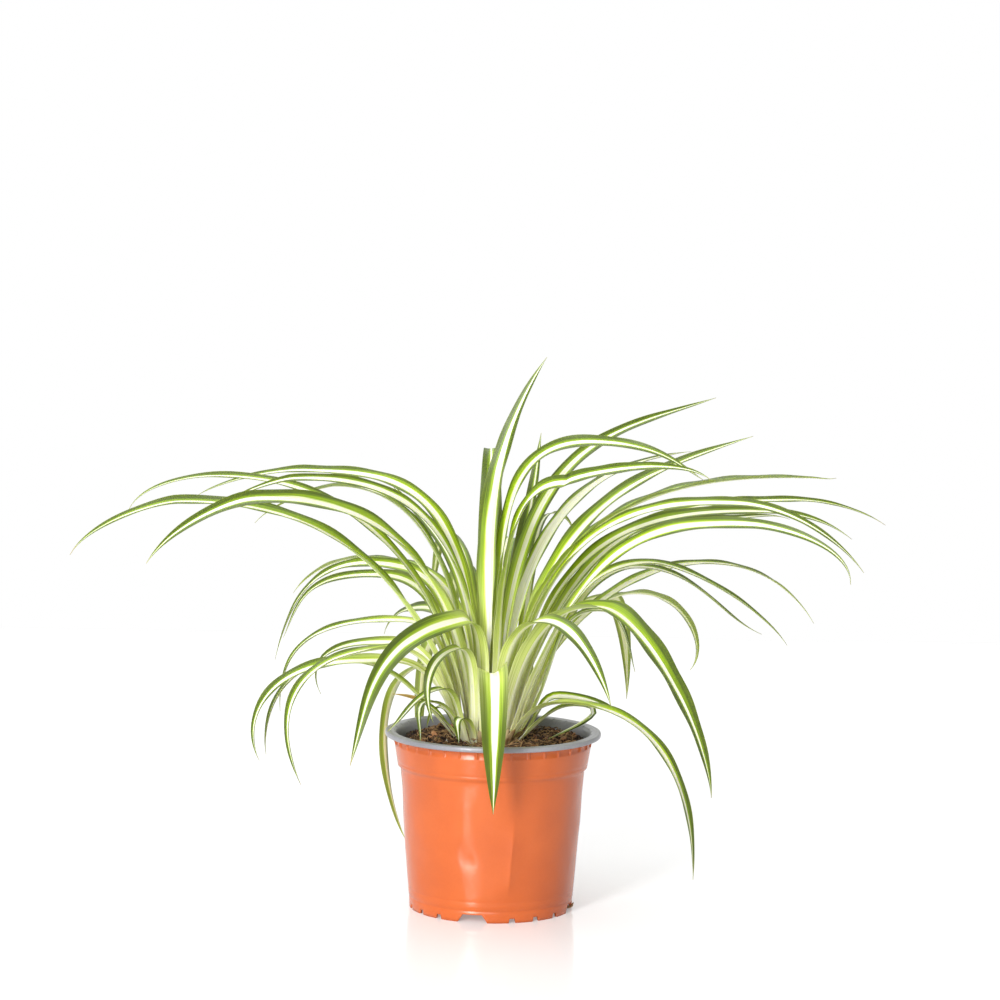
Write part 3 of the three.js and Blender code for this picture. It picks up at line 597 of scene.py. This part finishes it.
# %% The leaves
# Each row: turn (0 right, 90 back, 180 left, 270 front), lift (launch above level), crest
# [out, up] or None, tip [out, up], dive (below level at the tip), width, then bow, ease and nod,
# which pull the curves, and roll in degrees. A few rows end with a fold, a seat or a joined leaf.
LEAVES = {
    "left_high": [
        (199, 74, (177, 229.5), (235, 202), 61, 13, 0.5, 0.73, 0.17, -19),
        (216, 85, (151.5, 234.5), (217.5, 204), 54, 14, 0.53, 0.69, 0.26, -34),
        (186, 82, (151, 240), (199, 221), 65, 10, 0.5, 0.75, 0.31, -26),
        (164, 88, (108.5, 240), (175.5, 222), 34, 10, 0.8, 0.7, 0.22, -26),
        (123, 86, None, (110.5, 230), -31, 8, 0.65, 0.7, 0.4, -16),
        (204, 89, (115.5, 242), (155.5, 229.5), 31, 9.5, 0.66, 0.62, 0.2, -40),
        (181, 86, (85.5, 234.5), (130.5, 213), 50, 10, 0.46, 0.75, 0.16, -8),
    ],
    "left_mid": [
        (133, 85, (93, 186.5), (172, 158.5), 45, 8.5, 0.74, 0.8, 0.37, 5),
        (149, 80, (73, 187), (145, 125.5), 74, 7.5, 0.75, 0.88, 0.55, -44),
        (169, 75, (62, 183.5), (118, 146), 65, 8, 0.56, 0.74, 0.69, -36),
    ],
    "left_low": [
        (171, 73, (49.5, 158.5), (118.5, 104.5), 93, 8, 0.57, 0.79, 0.71, -16),
        (191, 71, (73, 138.5), (127.5, 84), 116, 11, 0.7, 0.78, 0.7, -20),
        (209, 62, (61.5, 148.5), (114.5, 76.5), 116, 10.5, 0.42, 0.77, 0.84, -2),
        (185, 49, (81, 137.5), (123, 85), 99, 9, 0.5, 0.74, 0.52, -9),
        (161, 69, (56, 144.5), (100.5, 112.5), 120, 8, 0.41, 0.67, 0.87, -37),
        (119, 68, (58, 159.5), (129, 136.5), 64, 9, 0.43, 0.78, 0.21, -41),
        (238, 86, (28, 164), (134, 98), 64, 12.5, 0.33, 1.32, 0.7, -45),
        (239, 68, (32.5, 148.5), (57, 110.5), 126, 8, 0.2, 1.2, 0.88, -8),
        (142, 61, (34.5, 132), (57.5, 28), 128, 9, 0.48, 0.63, 0.53, -5),
    ],
    "left_short": [
        (230, 58, (40.5, 126.5), (83.5, 108), 22, 6, 0.43, 0.71, 0.46, -2),
        (223, 60, (46, 119.5), (50.5, 96), 68, 5, 0.45, 0.74, 0.43, 0, dict(join="left_short_1")),
        (200, 55, None, (56, 121.5), -8, 5, 0.49, 0.7, 0.4, -24),
        (150, 48, (31.5, 109), (40, 96.5), 70, 5, 0.42, 0.87, 0.38, -10),
        (243, 67, (33.5, 110), (35, 96.5), 58, 5.5, 0.45, 0.62, 0.52, -4, dict(seat=16.5)),
    ],
    "top": [
        (15, 90, None, (30.5, 306.5), -56, 13, 0.45, 0.7, 0.4, 37),
        (69, 84, None, (77.5, 260), -75, 13, 0.21, 0.7, 0.4, -22),
        (91, 87, (39.5, 253), (62, 229.5), 62, 14, 0.46, 0.67, 0.42, -6, dict(fold=0.08)),
        (51, 70, (55.5, 217), (74.5, 204), 83, 9, 0.64, 0.56, 0.37, -16, dict(fold=0.08)),
    ],
    "right_high": [
        (342, 89, (60.5, 262), (120.5, 243.5), 30, 11, 0.62, 1.34, 0.55, 46),
        (321, 87, (53.5, 240.5), (147.5, 248.5), 32, 10.5, 0.38, 1.45, -0.12, 44),
        (28, 88, None, (144.5, 282), -15, 9, 0.72, 0.7, 0.4, 36),
        (9, 83, None, (147.5, 263.5), -18, 13.5, 0.59, 0.7, 0.4, 24),
        (39, 86, None, (148.5, 249), -3, 10, 0.61, 0.7, 0.4, 4),
        (350, 86, (176, 245.5), (189.5, 245.5), -18, 14, 0.58, 0.79, 0.3, 6),
        (15, 76, (177.5, 226), (233.5, 211), 33, 9, 0.61, 0.52, 0.32, 25),
        (339, 83, (143, 232.5), (212, 199), 52, 10, 0.62, 0.92, 0.35, 28),
        (354, 82, (151, 225), (198.5, 211), 36, 10.5, 0.62, 0.82, 0.45, 27),
        (29, 75, (156, 212), (199, 210), 20, 10.5, 0.56, 0.62, 0.35, 18),
        (334, 70, (155, 223), (210.5, 194.5), 92, 9, 0.61, 0.58, 0.34, 50),
    ],
    "right_mid": [
        (5, 69, (89, 193), (167.5, 147), 56, 9, 0.49, 0.59, 0.22, 11),
        (20, 60, (85.5, 188), (166, 147.5), 21, 8.5, 0.36, 0.54, 0.44, 18),
        (34, 69, (143, 185), (233, 144.5), 53, 8, 0.39, 0.85, 0.45, 15),
        (46, 60, (115, 166.5), (172, 116), 147, 9.5, 0.36, 0.76, 0.66, -15),
        (56, 70, (122.5, 161.5), (146.5, 98.5), 96, 12.5, 0.46, 0.74, 0.28, -29),
        (350, 53, (62, 168.5), (82, 135), 71, 8, 0.51, 0.7, 0.38, 9),
        (319, 80, (80, 175.5), (156.5, 82), 85, 16.5, 0.5, 0.74, 0.23, 6),
    ],
    "front": [
        (301, 85, (66, 167.5), (125, 130.5), 61, 11.5, 0.6, 0.66, 0.35, 16),
        (273, 78, (60.5, 139.5), (72, 65.5), 88, 16, 0.41, 0.68, 0.39, 11, dict(fold=0.3)),
        (-1, 44, (39.5, 118.5), (79.5, 105), 37, 8, 0.47, 0.77, 0.4, 23),
        (328, 56, (56.5, 119.5), (131.5, 31), 90, 10.5, 0.53, 0.64, 0.55, 0),
        (341, 44, (52.5, 116.5), (35, 96), 152, 8.5, 0.47, 0.72, 0.9, 4),
    ],
    "back": [
        (82, 64, (77, 198.5), (114, 155.5), 66, 11, 0.46, 0.65, 0.4, 10),
        (102, 58, (74, 181.5), (119.5, 109), 73, 10, 0.49, 0.54, 0.43, 2),
        (113, 57, (69.5, 143), (103.5, 57.5), 91, 9, 0.45, 0.65, 0.41, 5),
        (78, 56, (73, 139.5), (116, 45.5), 102, 9, 0.37, 0.67, 0.37, 1),
        (108, 73, (81.5, 200), (114.5, 156.5), 57, 9, 0.46, 0.74, 0.4, 12),
    ],
}
USUAL = dict(bow=0.45, ease=0.7, nod=0.4, roll=0.0, fold=0.17, join=None, seat=None)
FIRST_SEAT, SEAT_STEP = 2.5, 0.88  # mm from the crown's axis, and between one base and the next
SEAT_MARGIN, HALF_BASE = 1.4, 0.3  # HALF_BASE: half of a base's width, as a share of the leaf's


def as_records(table):
    """One record for each leaf, steepest first, as they are wrapped round the crown."""
    keys = ("turn", "lift", "crest", "tip", "dive", "wide", "bow", "ease", "nod", "roll")
    records = [
        {**USUAL, "name": f"{group}_{i + 1}", **dict(zip(keys, row)), **dict(*row[len(keys):])}
        for group, rows in table.items()
        for i, row in enumerate(rows)
    ]
    return sorted(records, key=lambda leaf: -leaf["lift"])


def seat_leaves(records):
    """Each base lies one step outside the ones it wraps: those steeper and within its own arc."""
    for i, leaf in enumerate(records):
        leaf["seat"] = leaf["seat"] or FIRST_SEAT
        for inner in records[:i]:
            off = np.radians(abs(apart(leaf["turn"], inner["turn"])))
            if off < SEAT_MARGIN * HALF_BASE * (leaf["wide"] + inner["wide"]) / inner["seat"]:
                leaf["seat"] = max(leaf["seat"], inner["seat"] + SEAT_STEP)
    return records


leaves = seat_leaves(as_records(LEAVES))
print("leaves:", len(leaves), "widest", max(leaf["wide"] for leaf in leaves), "mm")


# %% Leaf functions
CURVE_POINTS, ROW_STEP, ROW_LIMITS = 160, 3.2, (26, 96)  # mm between rows, fewest and most rows
BURIED = 5.0  # mm of a base below its seat
BASE_SHARE, WIDEST_AT, TAPER = 0.6, 0.45, 2.2
OPENING, CLOSED = 0.12, 0.34  # share of the length where the fold opens, and its greatest depth
LOOSE_ROLL, ROLL_SPAN = 5, (0.08, 0.5)
ACROSS, BOTTOM, KEEL = 13, 0.22, 0.22  # points across, roundness of the fold, mm of the keel


def cubic(a, b, c, d):
    """A cubic curve's points: (1-s)^3 a + 3 s (1-s)^2 b + 3 s^2 (1-s) c + s^3 d."""
    s = np.linspace(0, 1, CURVE_POINTS)[:, None]
    return (1 - s) ** 3 * a + 3 * s * (1 - s) ** 2 * b + 3 * s**2 * (1 - s) * c + s**3 * d


def stretch(a, leaving, first, b, arriving, second):
    """One cubic from a to b that leaves and arrives at given angles, with handles of given length."""
    way = [np.array([np.cos(angle), np.sin(angle)]) for angle in np.radians([leaving, arriving])]
    return cubic(a, a + way[0] * first, b - way[1] * second, b)


def midrib(leaf):
    """The midrib as (out, up) points at even distances, and the distance run up to each."""
    base, tip = np.array([leaf["seat"], CROWN_TOP + 0.3]), np.array(leaf["tip"], float)
    if leaf["crest"]:
        crest = np.array(leaf["crest"], float)
        rise, fall = np.linalg.norm(crest - base), np.linalg.norm(tip - crest)
        level_pull = min(0.35 * rise, leaf["ease"] * (crest[0] - base[0]))
        path = np.concatenate([
            stretch(base, leaf["lift"], leaf["bow"] * rise, crest, 0, level_pull),
            stretch(crest, 0, leaf["nod"] * fall, tip, -leaf["dive"], 0.3 * fall)[1:],
        ])
    else:
        rise = np.linalg.norm(tip - base)
        path = stretch(base, leaf["lift"], leaf["bow"] * rise, tip, -leaf["dive"], 0.35 * rise)
    lift = np.radians(leaf["lift"])
    below = base - BURIED * np.array([np.cos(lift), np.sin(lift)])
    path = np.concatenate([below[None], path])
    run = np.concatenate([[0], np.cumsum(np.hypot(*np.diff(path, axis=0).T))])
    count = int(np.clip(run[-1] / ROW_STEP, *ROW_LIMITS))
    even = np.linspace(0, run[-1], count)
    return np.stack([np.interp(even, run, path[:, 0]), np.interp(even, run, path[:, 1])], 1), even


def blade(leaf, number):
    """
    The blade's closed skin. Across it, s runs from -1 to 1: x = s * width / 2, and the fold
    lifts it by depth * (sqrt(s^2 + k^2) - k) / (sqrt(1 + k^2) - k), a V with a round bottom.
    The underside lies a thickness below, with a keel under the midrib. Growth holds the share of
    the length, 1 on the upper side, and a ripening length in units of 100 mm, which runs faster
    in short and in low leaves because they turn green nearer to the crown.
    """
    rng = np.random.default_rng(100 + number)
    path, run = midrib(leaf)
    total = run[-1] - BURIED
    t = np.clip((run - BURIED) / total, 0, 1)
    out = np.array([np.cos(np.radians(leaf["turn"])), np.sin(np.radians(leaf["turn"])), 0])
    zenith = np.array([0.0, 0.0, 1.0])
    aside = np.cross(zenith, out)
    slope = np.gradient(path, axis=0)
    slope /= np.linalg.norm(slope, axis=1, keepdims=True)
    centre = np.array([CROWN_X, 0, 0]) + path[:, :1] * out + path[:, 1:] * zenith
    face = np.cross(slope[:, :1] * out + slope[:, 1:] * zenith, aside)
    loose = rng.uniform(-LOOSE_ROLL, LOOSE_ROLL) * t
    roll = np.radians(leaf["roll"] * smooth(*ROLL_SPAN, t) + loose)[:, None]
    across, face = aside * np.cos(roll) + face * np.sin(roll), face * np.cos(roll) - aside * np.sin(roll)

    open_share = BASE_SHARE + (1 - BASE_SHARE) * np.sin(np.clip(t / WIDEST_AT, 0, 1) * np.pi / 2)
    past = np.clip((t - WIDEST_AT) / (1 - WIDEST_AT), 0, 1)
    width = np.maximum(leaf["wide"] * open_share * (1 - past**TAPER), 0.25)
    width = width * (1 + 0.35 * np.exp(-run / 7.0))
    wrapped = width**2 / (8 * np.maximum(path[:, 0], 1))
    opened = leaf["fold"] * width * np.clip(t / OPENING, 0, 1)
    depth = np.minimum(CLOSED * width, np.maximum(opened, wrapped))

    s = np.sin(np.linspace(-1, 1, ACROSS) * np.pi / 2)
    gutter = (np.sqrt(s**2 + BOTTOM**2) - BOTTOM) / (np.sqrt(1 + BOTTOM**2) - BOTTOM)
    wave = np.sin(run[:, None] * 2 * np.pi / rng.uniform(26, 44) + rng.uniform(0, 6) + 1.7 * np.sign(s))
    ripple = 0.035 * width[:, None] * wave * s**4 * smooth(0.1, 0.3, t)[:, None]
    top = depth[:, None] * gutter - 0.12 + ripple
    section = 0.24 + 0.16 * (1 - s**2) + KEEL * np.exp(-((s / 0.12) ** 2))
    thick = section * np.clip(width / 3, 0.3, 1)[:, None]
    level = centre[:, None] + (s * width[:, None] / 2)[..., None] * across[:, None]
    upper = level + top[..., None] * face[:, None]
    lower = level + (top - thick)[..., None] * face[:, None]
    skin = np.concatenate([upper, lower[:, ::-1]], 1)

    n, m = skin.shape[:2]
    points = skin.reshape(-1, 3)
    faces = turned_outwards(points, quads(n, m))
    ends = np.stack([np.arange(m)[::-1], (n - 1) * m + np.arange(m)])
    if (quads(n, m)[0] != faces[0]).any():
        ends = ends[:, ::-1]
    grid = np.ones((n, m))
    u = (np.concatenate([s, s[::-1]]) + 1) / 2 * grid
    v = (run[:, None] / 100 + 3.7 * number) * grid
    upper_side = np.repeat([1.0, 0.0], ACROSS) * grid
    hurry = max(1.0, 150 / total) * (1 + 0.8 * smooth(66, 48, leaf["lift"]))
    growth = np.stack([t[:, None] * grid, upper_side, hurry * run[:, None] / 100 * grid], -1)
    return points, faces, ends, np.stack([u, v], -1).reshape(-1, 2), growth.reshape(-1, 3)


def gathered(blades):
    """Several blades as one: points, [faces, ends] counted on from blade to blade, uv and growth."""
    starts = np.cumsum([0] + [len(one[0]) for one in blades])
    points, uv, growth = [np.concatenate([one[k] for one in blades]) for k in (0, 3, 4)]
    groups = [np.concatenate([one[k] + start for one, start in zip(blades, starts)]) for k in (1, 2)]
    return points, groups, uv, growth


# %% [markdown]
# ## The living leaf
# A variegated leaf is creamy white along the middle and green at both margins, and the line
# between them wanders a little. The green is yellow beside the stripe and darkest in a thin
# line at the margin. Parallel veins run the whole length as fine streaks. Near the crown the
# green pales and the stripe yellows, and the clasping foot is the colour of straw. These pale
# tones are also painted lighter than the leaf is, as painted light that offsets the shade inside
# the crown. All of this follows the blade's own map, u across and v along it, so it stays with
# the leaf wherever it bends. The upper skin is waxy and glints softly, and light that enters it
# comes out greener.

# %% What the leaf material reads
GREENS = [(0.0, "#CFDC52"), (0.22, "#AAC024"), (0.55, "#85A012"), (0.85, "#60780F"), (1.0, "#43540C")]
CREAM, CREAM_LINE = "#F1F0DA", "#C9D37E"
# The pale base and straw foot tones: the real paler base, painted lighter as painted light against the
# crown's shade.
PALE_LIT_GREEN, PALE_LIT_CREAM, PALE_LIT_LINE = "#EFF5AA", "#FFFDEE", "#C8D468"
LIT_STRAW, LIT_STRAW_LINE, UNDERSIDE = "#FFF9E6", "#EAE4B4", "#B4C26C"
DRY_DARK, DRY_LIGHT = "#7A5A2C", "#B99A5C"

LIVING_LEAF, tree, shader = new_material(
    "variegated_living_leaf", Roughness=0.42, IOR=1.38, Subsurface_Weight=0.5, Subsurface_Scale=0.0014,
    Subsurface_Radius=(0.95, 1.0, 0.35), Coat_Weight=0.06, Coat_Roughness=0.28,
)
growth, habit = [
    add(tree, "ShaderNodeAttribute", attribute_name=key).outputs["Vector"] for key in ("growth", "habit")
]
share_along, upper_side, ripening = add(tree, "ShaderNodeSeparateXYZ", (growth,)).outputs
stripe_share, dry_share, _ = add(tree, "ShaderNodeSeparateXYZ", (habit,)).outputs
blade_map = add(tree, "ShaderNodeUVMap", uv_map="blade")
u = add(tree, "ShaderNodeSeparateXYZ", (blade_map,)).outputs[0]
veins_at = add(tree, MAPPING, {0: blade_map, "Scale": (21.0, 1.2, 1.0)})
veins = add(tree, NOISE, {"Vector": veins_at, "Scale": 1.0, "Detail": 3.0})
wander_at = add(tree, MAPPING, {0: blade_map, "Scale": (1.3, 3.0, 1.0)})
wander = add(tree, NOISE, {"Vector": wander_at, "Scale": 1.0, "Detail": 1.0})
print("the leaf material has", len(tree.nodes), "nodes so far")

# %% [markdown]
# ### The stripe
# The distance off the stripe's middle is 0 there and 1 at the margins, and a slow noise makes the
# middle wander. The stripe ends where that distance, frayed by the veins, passes the leaf's own
# half width, which narrows towards the tip.

# %% The stripe
centred = add(tree, MATH, (u, 2.0, -1.13), **TIMES_PLUS)
swayed = add(tree, MATH, (wander, 0.26, centred), **TIMES_PLUS)
off = add(tree, MATH, (swayed,), operation="ABSOLUTE")
inward = add(tree, MATH, (off, 0.10), **MINUS)
frayed = add(tree, MATH, (veins, 0.20, inward), **TIMES_PLUS)
narrowing = add(tree, RANGE, (share_along, 0.5, 1.0, 1.0, 0.35), **SOFT)
half = add(tree, MATH, (stripe_share, narrowing), **TIMES)
half_end = add(tree, MATH, (half, 0.12), **PLUS)
stripe = add(tree, RANGE, (frayed, half, half_end, 1.0, 0.0), **SOFT)
print("with the stripe:", len(tree.nodes), "nodes")

# %% [markdown]
# ### The green
# A ramp gives the green. It is read at (off - half) / (1 - half), the way from the stripe's edge
# to the margin, plus an age that rises towards the tip, plus a share of the veins.

# %% The green
past_edge = add(tree, MATH, (off, half), **MINUS)
green_width = add(tree, MATH, (1.0, half), **MINUS)
outward = add(tree, MATH, (past_edge, green_width), operation="DIVIDE")
age = add(tree, RANGE, (share_along, 0.3, 0.8, 0.0, 0.52), **SOFT)
ripe = add(tree, MATH, (outward, age), **PLUS)
vein_tone = add(tree, MATH, (veins, 0.5), **MINUS)
streaked = add(tree, MATH, (vein_tone, 1.2, ripe), **TIMES_PLUS)
shade = add(tree, "ShaderNodeValToRGB", (streaked,))
for at, _ in GREENS[1:-1]:
    shade.color_ramp.elements.new(at)
for element, (at, tone) in zip(shade.color_ramp.elements, GREENS):
    element.position, element.color = at, linear(tone)
print("with the green:", len(tree.nodes), "nodes")

# %% [markdown]
# ### Young, clasping and dry parts
# Near the crown the leaf is young: pale green with fine lines, and a stripe of yellow cream. These
# pale tones and the straw of the clasping foot are painted lighter than the leaf is, as painted
# light against the shade inside the crown. The underside is duller. The tip is dry along the
# leaf's own dry share.

# %% Young, clasping and dry parts, with painted light near the crown
lines = add(tree, RANGE, (veins, 0.49, 0.58), **SOFT)
faint_lines = add(tree, MATH, (lines, 0.38), **TIMES)
# 1 near the crown, 0 once ripe: it brings in the young tones, which carry painted light against the crown's
#                                shade.
young_and_lit = add(tree, RANGE, (ripening, 0.15, 1.2, 1.0, 0.0), **SOFT)
young_and_lit_share = add(tree, MATH, (young_and_lit, 0.9), **TIMES)
pale_lit_green = add(tree, MIX, {0: lines, 6: PALE_LIT_GREEN, 7: PALE_LIT_LINE}, **COLOUR)
green = add(tree, MIX, {0: young_and_lit_share, 6: shade, 7: pale_lit_green}, **COLOUR)
ripe_cream = add(tree, MIX, {0: faint_lines, 6: CREAM, 7: CREAM_LINE}, **COLOUR)
young_lit_cream = add(tree, MIX, {0: faint_lines, 6: PALE_LIT_CREAM, 7: PALE_LIT_LINE}, **COLOUR)
cream = add(tree, MIX, {0: young_and_lit, 6: ripe_cream, 7: young_lit_cream}, **COLOUR)
striped = add(tree, MIX, {0: stripe, 6: green, 7: cream}, **COLOUR)

# The straw foot, painted lighter than straw as painted light in the crown's shade.
lit_straw = add(tree, MIX, {0: lines, 6: LIT_STRAW, 7: LIT_STRAW_LINE}, **COLOUR)
lit_straw_share = add(tree, RANGE, (ripening, 0.08, 0.62, 0.92, 0.0), **SOFT)
footed = add(tree, MIX, {0: lit_straw_share, 6: striped, 7: lit_straw}, **COLOUR)
below = add(tree, RANGE, (upper_side, 0.0, 1.0, 0.35, 0.0), **SOFT)
sided = add(tree, MIX, {0: below, 6: footed, 7: UNDERSIDE}, **COLOUR)
dry_from = add(tree, MATH, (1.0, dry_share), **MINUS)
dry_to = add(tree, MATH, (dry_from, 0.05), **PLUS)
spot = add(tree, MATH, (veins, 0.03, share_along), **TIMES_PLUS)
withered = add(tree, RANGE, (spot, dry_from, dry_to), **SOFT)
patches = add(tree, RANGE, (veins, 0.3, 0.7), **SOFT)
dry_tone = add(tree, MIX, {0: patches, 6: DRY_DARK, 7: DRY_LIGHT}, **COLOUR)
finished = add(tree, MIX, {0: withered, 6: sided, 7: dry_tone}, **COLOUR)
bump = add(tree, BUMP, {"Height": veins, "Strength": 0.35, "Distance": 0.0003})
tree.links.new(finished.outputs[2], shader.inputs["Base Color"])
tree.links.new(bump.outputs[0], shader.inputs["Normal"])
print("the whole leaf material:", len(tree.nodes), "nodes,", len(tree.links), "links")

# %% [markdown]
# ## Growing every leaf
# Each leaf of the frame gets one blade at the same place. The shares of its stripe and of its dry
# tip are numbers that belong to that leaf, so one material serves them all. Two small leaves are
# grown together at the foot and share one piece.

# %% Make the leaves
STRIPE = {
    "front_2": 0.27, "front_4": 0.26, "front_5": 0.5, "top_1": 0.36, "top_2": 0.16, "top_3": 0.1,
    "right_high_5": 0.62, "right_high_10": 0.5, "right_mid_5": 0.7, "right_mid_7": 0.16,
    "left_high_1": 0.16, "left_low_7": 0.2,
}
DRY = {"left_short_3": 0.35, "front_3": 0.07, "left_high_1": 0.02, "right_high_7": 0.02, "left_low_7": 0.02}
USUAL_STRIPE, USUAL_DRY = (0.24, 0.40), 0.006

faces_made = 0
for number, leaf in enumerate(leaves):
    if leaf["join"]:
        continue
    joined = [index for index, other in enumerate(leaves) if other["join"] == leaf["name"]]
    points, groups, uv, growth = gathered([blade(leaves[index], index) for index in [number, *joined]])
    usual = np.random.default_rng(500 + number).uniform(*USUAL_STRIPE)
    habit = (STRIPE.get(leaf["name"], usual), DRY.get(leaf["name"], USUAL_DRY), 0.0)
    data = {"growth": growth, "habit": np.tile(habit, (len(points), 1))}
    piece = mesh_piece(f"blade_{leaf['name']}", points, groups, LIVING_LEAF, uv=uv, point_data=data)
    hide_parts(f"leaf_{leaf['name']}")
    faces_made += len(piece.data.polygons)
print("blades hold", faces_made, "faces")

# %% [markdown]
# ## The crown
# Where all the leaves meet, their bases clasp each other. Old leaves die back there and leave
# papery, fibrous sheaths. The crown is a low mound with ridges that run round it like the
# edges of the wrapped bases, and a ring of short dry sheaths stands at its foot.

# %% The crown's mound and dry sheaths
MOUND_AROUND, MOUND_FOOT, MOUND_EDGE, MOUND_RISE, RIDGE = 160, (11.0, 72.0), 91.0, 3.2, 0.5
mound_turn = np.linspace(0, 2 * np.pi, MOUND_AROUND, endpoint=False)
mound_spoke = np.concatenate([[MOUND_FOOT[0]], np.linspace(CROWN_RADIUS, 0.05, 50)])[:, None]
ridges = RIDGE * np.abs(np.sin(mound_spoke * 2.5 + 1.4 * np.sin(mound_turn * 3) + mound_turn * 2))
mound_z = MOUND_EDGE + MOUND_RISE * (1 - (mound_spoke / CROWN_RADIUS) ** 2) + ridges
mound_z[0] = MOUND_FOOT[1]
mound_x, mound_y = CROWN_X + mound_spoke * np.cos(mound_turn), mound_spoke * np.sin(mound_turn)
mound = np.stack([mound_x, mound_y, mound_z], -1).reshape(-1, 3)
mound_faces = turned_outwards(mound, quads(len(mound_spoke), MOUND_AROUND))
brim = np.arange(MOUND_AROUND)
mound_caps = np.stack([brim[::-1], (len(mound_spoke) - 1) * MOUND_AROUND + brim])
STOCK = crumbly("fibrous_leaf_base_stock", "#8E8350", "#DDD9AE", 2.5, 0.7, 0.3)
SHEATH = crumbly("papery_dry_leaf_sheath", "#7A5A36", "#CDBB8C", 5.0, 0.7, 0.2)
crown = mesh_piece("crown_mound", mound, [mound_faces, mound_caps], STOCK)
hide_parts("crown")

SHEATH_COUNT = 26
rng = np.random.default_rng(31)
sheaths = []
for number in range(SHEATH_COUNT):
    turn, lift = 360 / SHEATH_COUNT * number + rng.uniform(-6, 6), rng.uniform(58, 78)
    tip = (rng.uniform(17, 21), CROWN_TOP + rng.uniform(2, 9))
    wide, seat = rng.uniform(3, 6), rng.uniform(15.0, 16.6)
    shape = dict(USUAL, turn=turn, lift=lift, crest=None, tip=tip, dive=-60, wide=wide, seat=seat)
    sheaths.append(blade(shape, 200 + number))
sheath_points, sheath_groups, _, _ = gathered(sheaths)
sheath_piece = mesh_piece("dry_sheaths", sheath_points, sheath_groups, SHEATH)
print("crown:", len(crown.data.polygons), "faces, sheaths", len(sheath_piece.data.polygons))

# %% [markdown]
# ## A root at the foot
# One root has found a drain hole and come out through a notch in the foot. It is a tube along
# a smooth path, knobbly and dirty brown.

# %% The root end
root_turn = np.radians(77.4)
root_way = np.array([np.sin(root_turn), -np.cos(root_turn)])
knots = np.array([(31, 5.1), (32.5, 3.0), (39, 1.6), (45.9, 2.0), (47.2, 4.5)])
stops = np.linspace(0, 1, 44)
root_r, root_z = [np.interp(stops, np.linspace(0, 1, len(knots)), column) for column in knots.T]
blur = np.ones(7) / 7
root_r[3:-3], root_z[3:-3] = np.convolve(root_r, blur, "valid"), np.convolve(root_z, blur, "valid")
root_path = np.stack([root_r * root_way[0], root_r * root_way[1], root_z], -1)[None]
root_points, root_faces = strands(root_path, np.array([1.7]), 12)
knobs = noise(root_points[:, 0] * 3, root_points[:, 2] * 3 + root_points[:, 1], 2.0, 41)
root_points += 0.12 * knobs[:, None]
ROOT = crumbly("root_bark_soil_stained", "#5A3D22", "#A9855A", 1.2, 0.75, 0.25)
root = mesh_piece("root_tube", root_points, root_faces, ROOT)
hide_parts("root_end")
print("root:", len(root.data.polygons), "faces")

# %% [markdown]
# ## The studio
# The plant stands on a white acrylic table in a white room. A tall soft box at the left front
# makes the long highlight on the pot, and its right side falls into half shade. A wide box near
# the camera fills in the front of the pot and the crown, and a broad light overhead brightens
# the leaves' upper faces. Light that comes through the table from below keeps the ground white
# and the shadow faint, and the pot's foot shows in its gloss.

# %% Floor, lights and room
FLOOR_SIZE = 1.1
PLANT_MIDDLE = np.array([0.0, 0.0, 0.12])
corners = [(-1, -1), (1, -1), (1, 1), (-1, 1)]
floor_mesh = bpy.data.meshes.new("table_top")
floor_mesh.from_pydata([(x * FLOOR_SIZE, y * FLOOR_SIZE, 0) for x, y in corners], [], [(0, 1, 2, 3)])
white, _, _ = new_material(
    "white_acrylic_table", Base_Color=linear("#D6D6D6"), Roughness=0.1, IOR=1.33,
    Emission_Color=(1, 1, 1, 1), Emission_Strength=0.25,
)
floor_mesh.materials.append(white)
floor = new_object("table_top", floor_mesh)


def soft_box(name, at, size, watts):
    """An area light of a width and height in metres, turned to face the plant."""
    light = bpy.data.lights.new(name, "AREA")
    light.shape, light.size, light.size_y, light.energy = "RECTANGLE", size[0], size[1], watts
    box = new_object(name, light)
    back = np.array(at) - PLANT_MIDDLE
    back /= np.linalg.norm(back)
    side_way = np.cross([0, 0, 1], back)
    side_way /= np.linalg.norm(side_way)
    turn_rows = np.stack([side_way, np.cross(back, side_way), back], 1)
    box.matrix_world = Matrix([[*row, p] for row, p in zip(turn_rows, at)] + [[0, 0, 0, 1]])


soft_box("key_box", (-0.84, -1.69, 0.7), (0.36, 1.5), 40)
soft_box("front_box", (-0.4, -1.8, 1.0), (1.3, 1.0), 17)
soft_box("top_box", (-0.3, 0.4, 1.7), (1.8, 2.0), 22)

world = bpy.data.worlds.new("white_room")
world.use_nodes = True
room = world.node_tree
spilt = add(room, "ShaderNodeLightPath").outputs["Is Diffuse Ray"]
glow = add(room, RANGE, (spilt, 0.0, 1.0, 1.0, 0.42))
room.nodes["Background"].inputs[0].default_value = (1, 1, 1, 1)
room.links.new(glow.outputs[0], room.nodes["Background"].inputs[1])
bpy.context.scene.world = world
bpy.context.scene.view_settings.view_transform = "Standard"
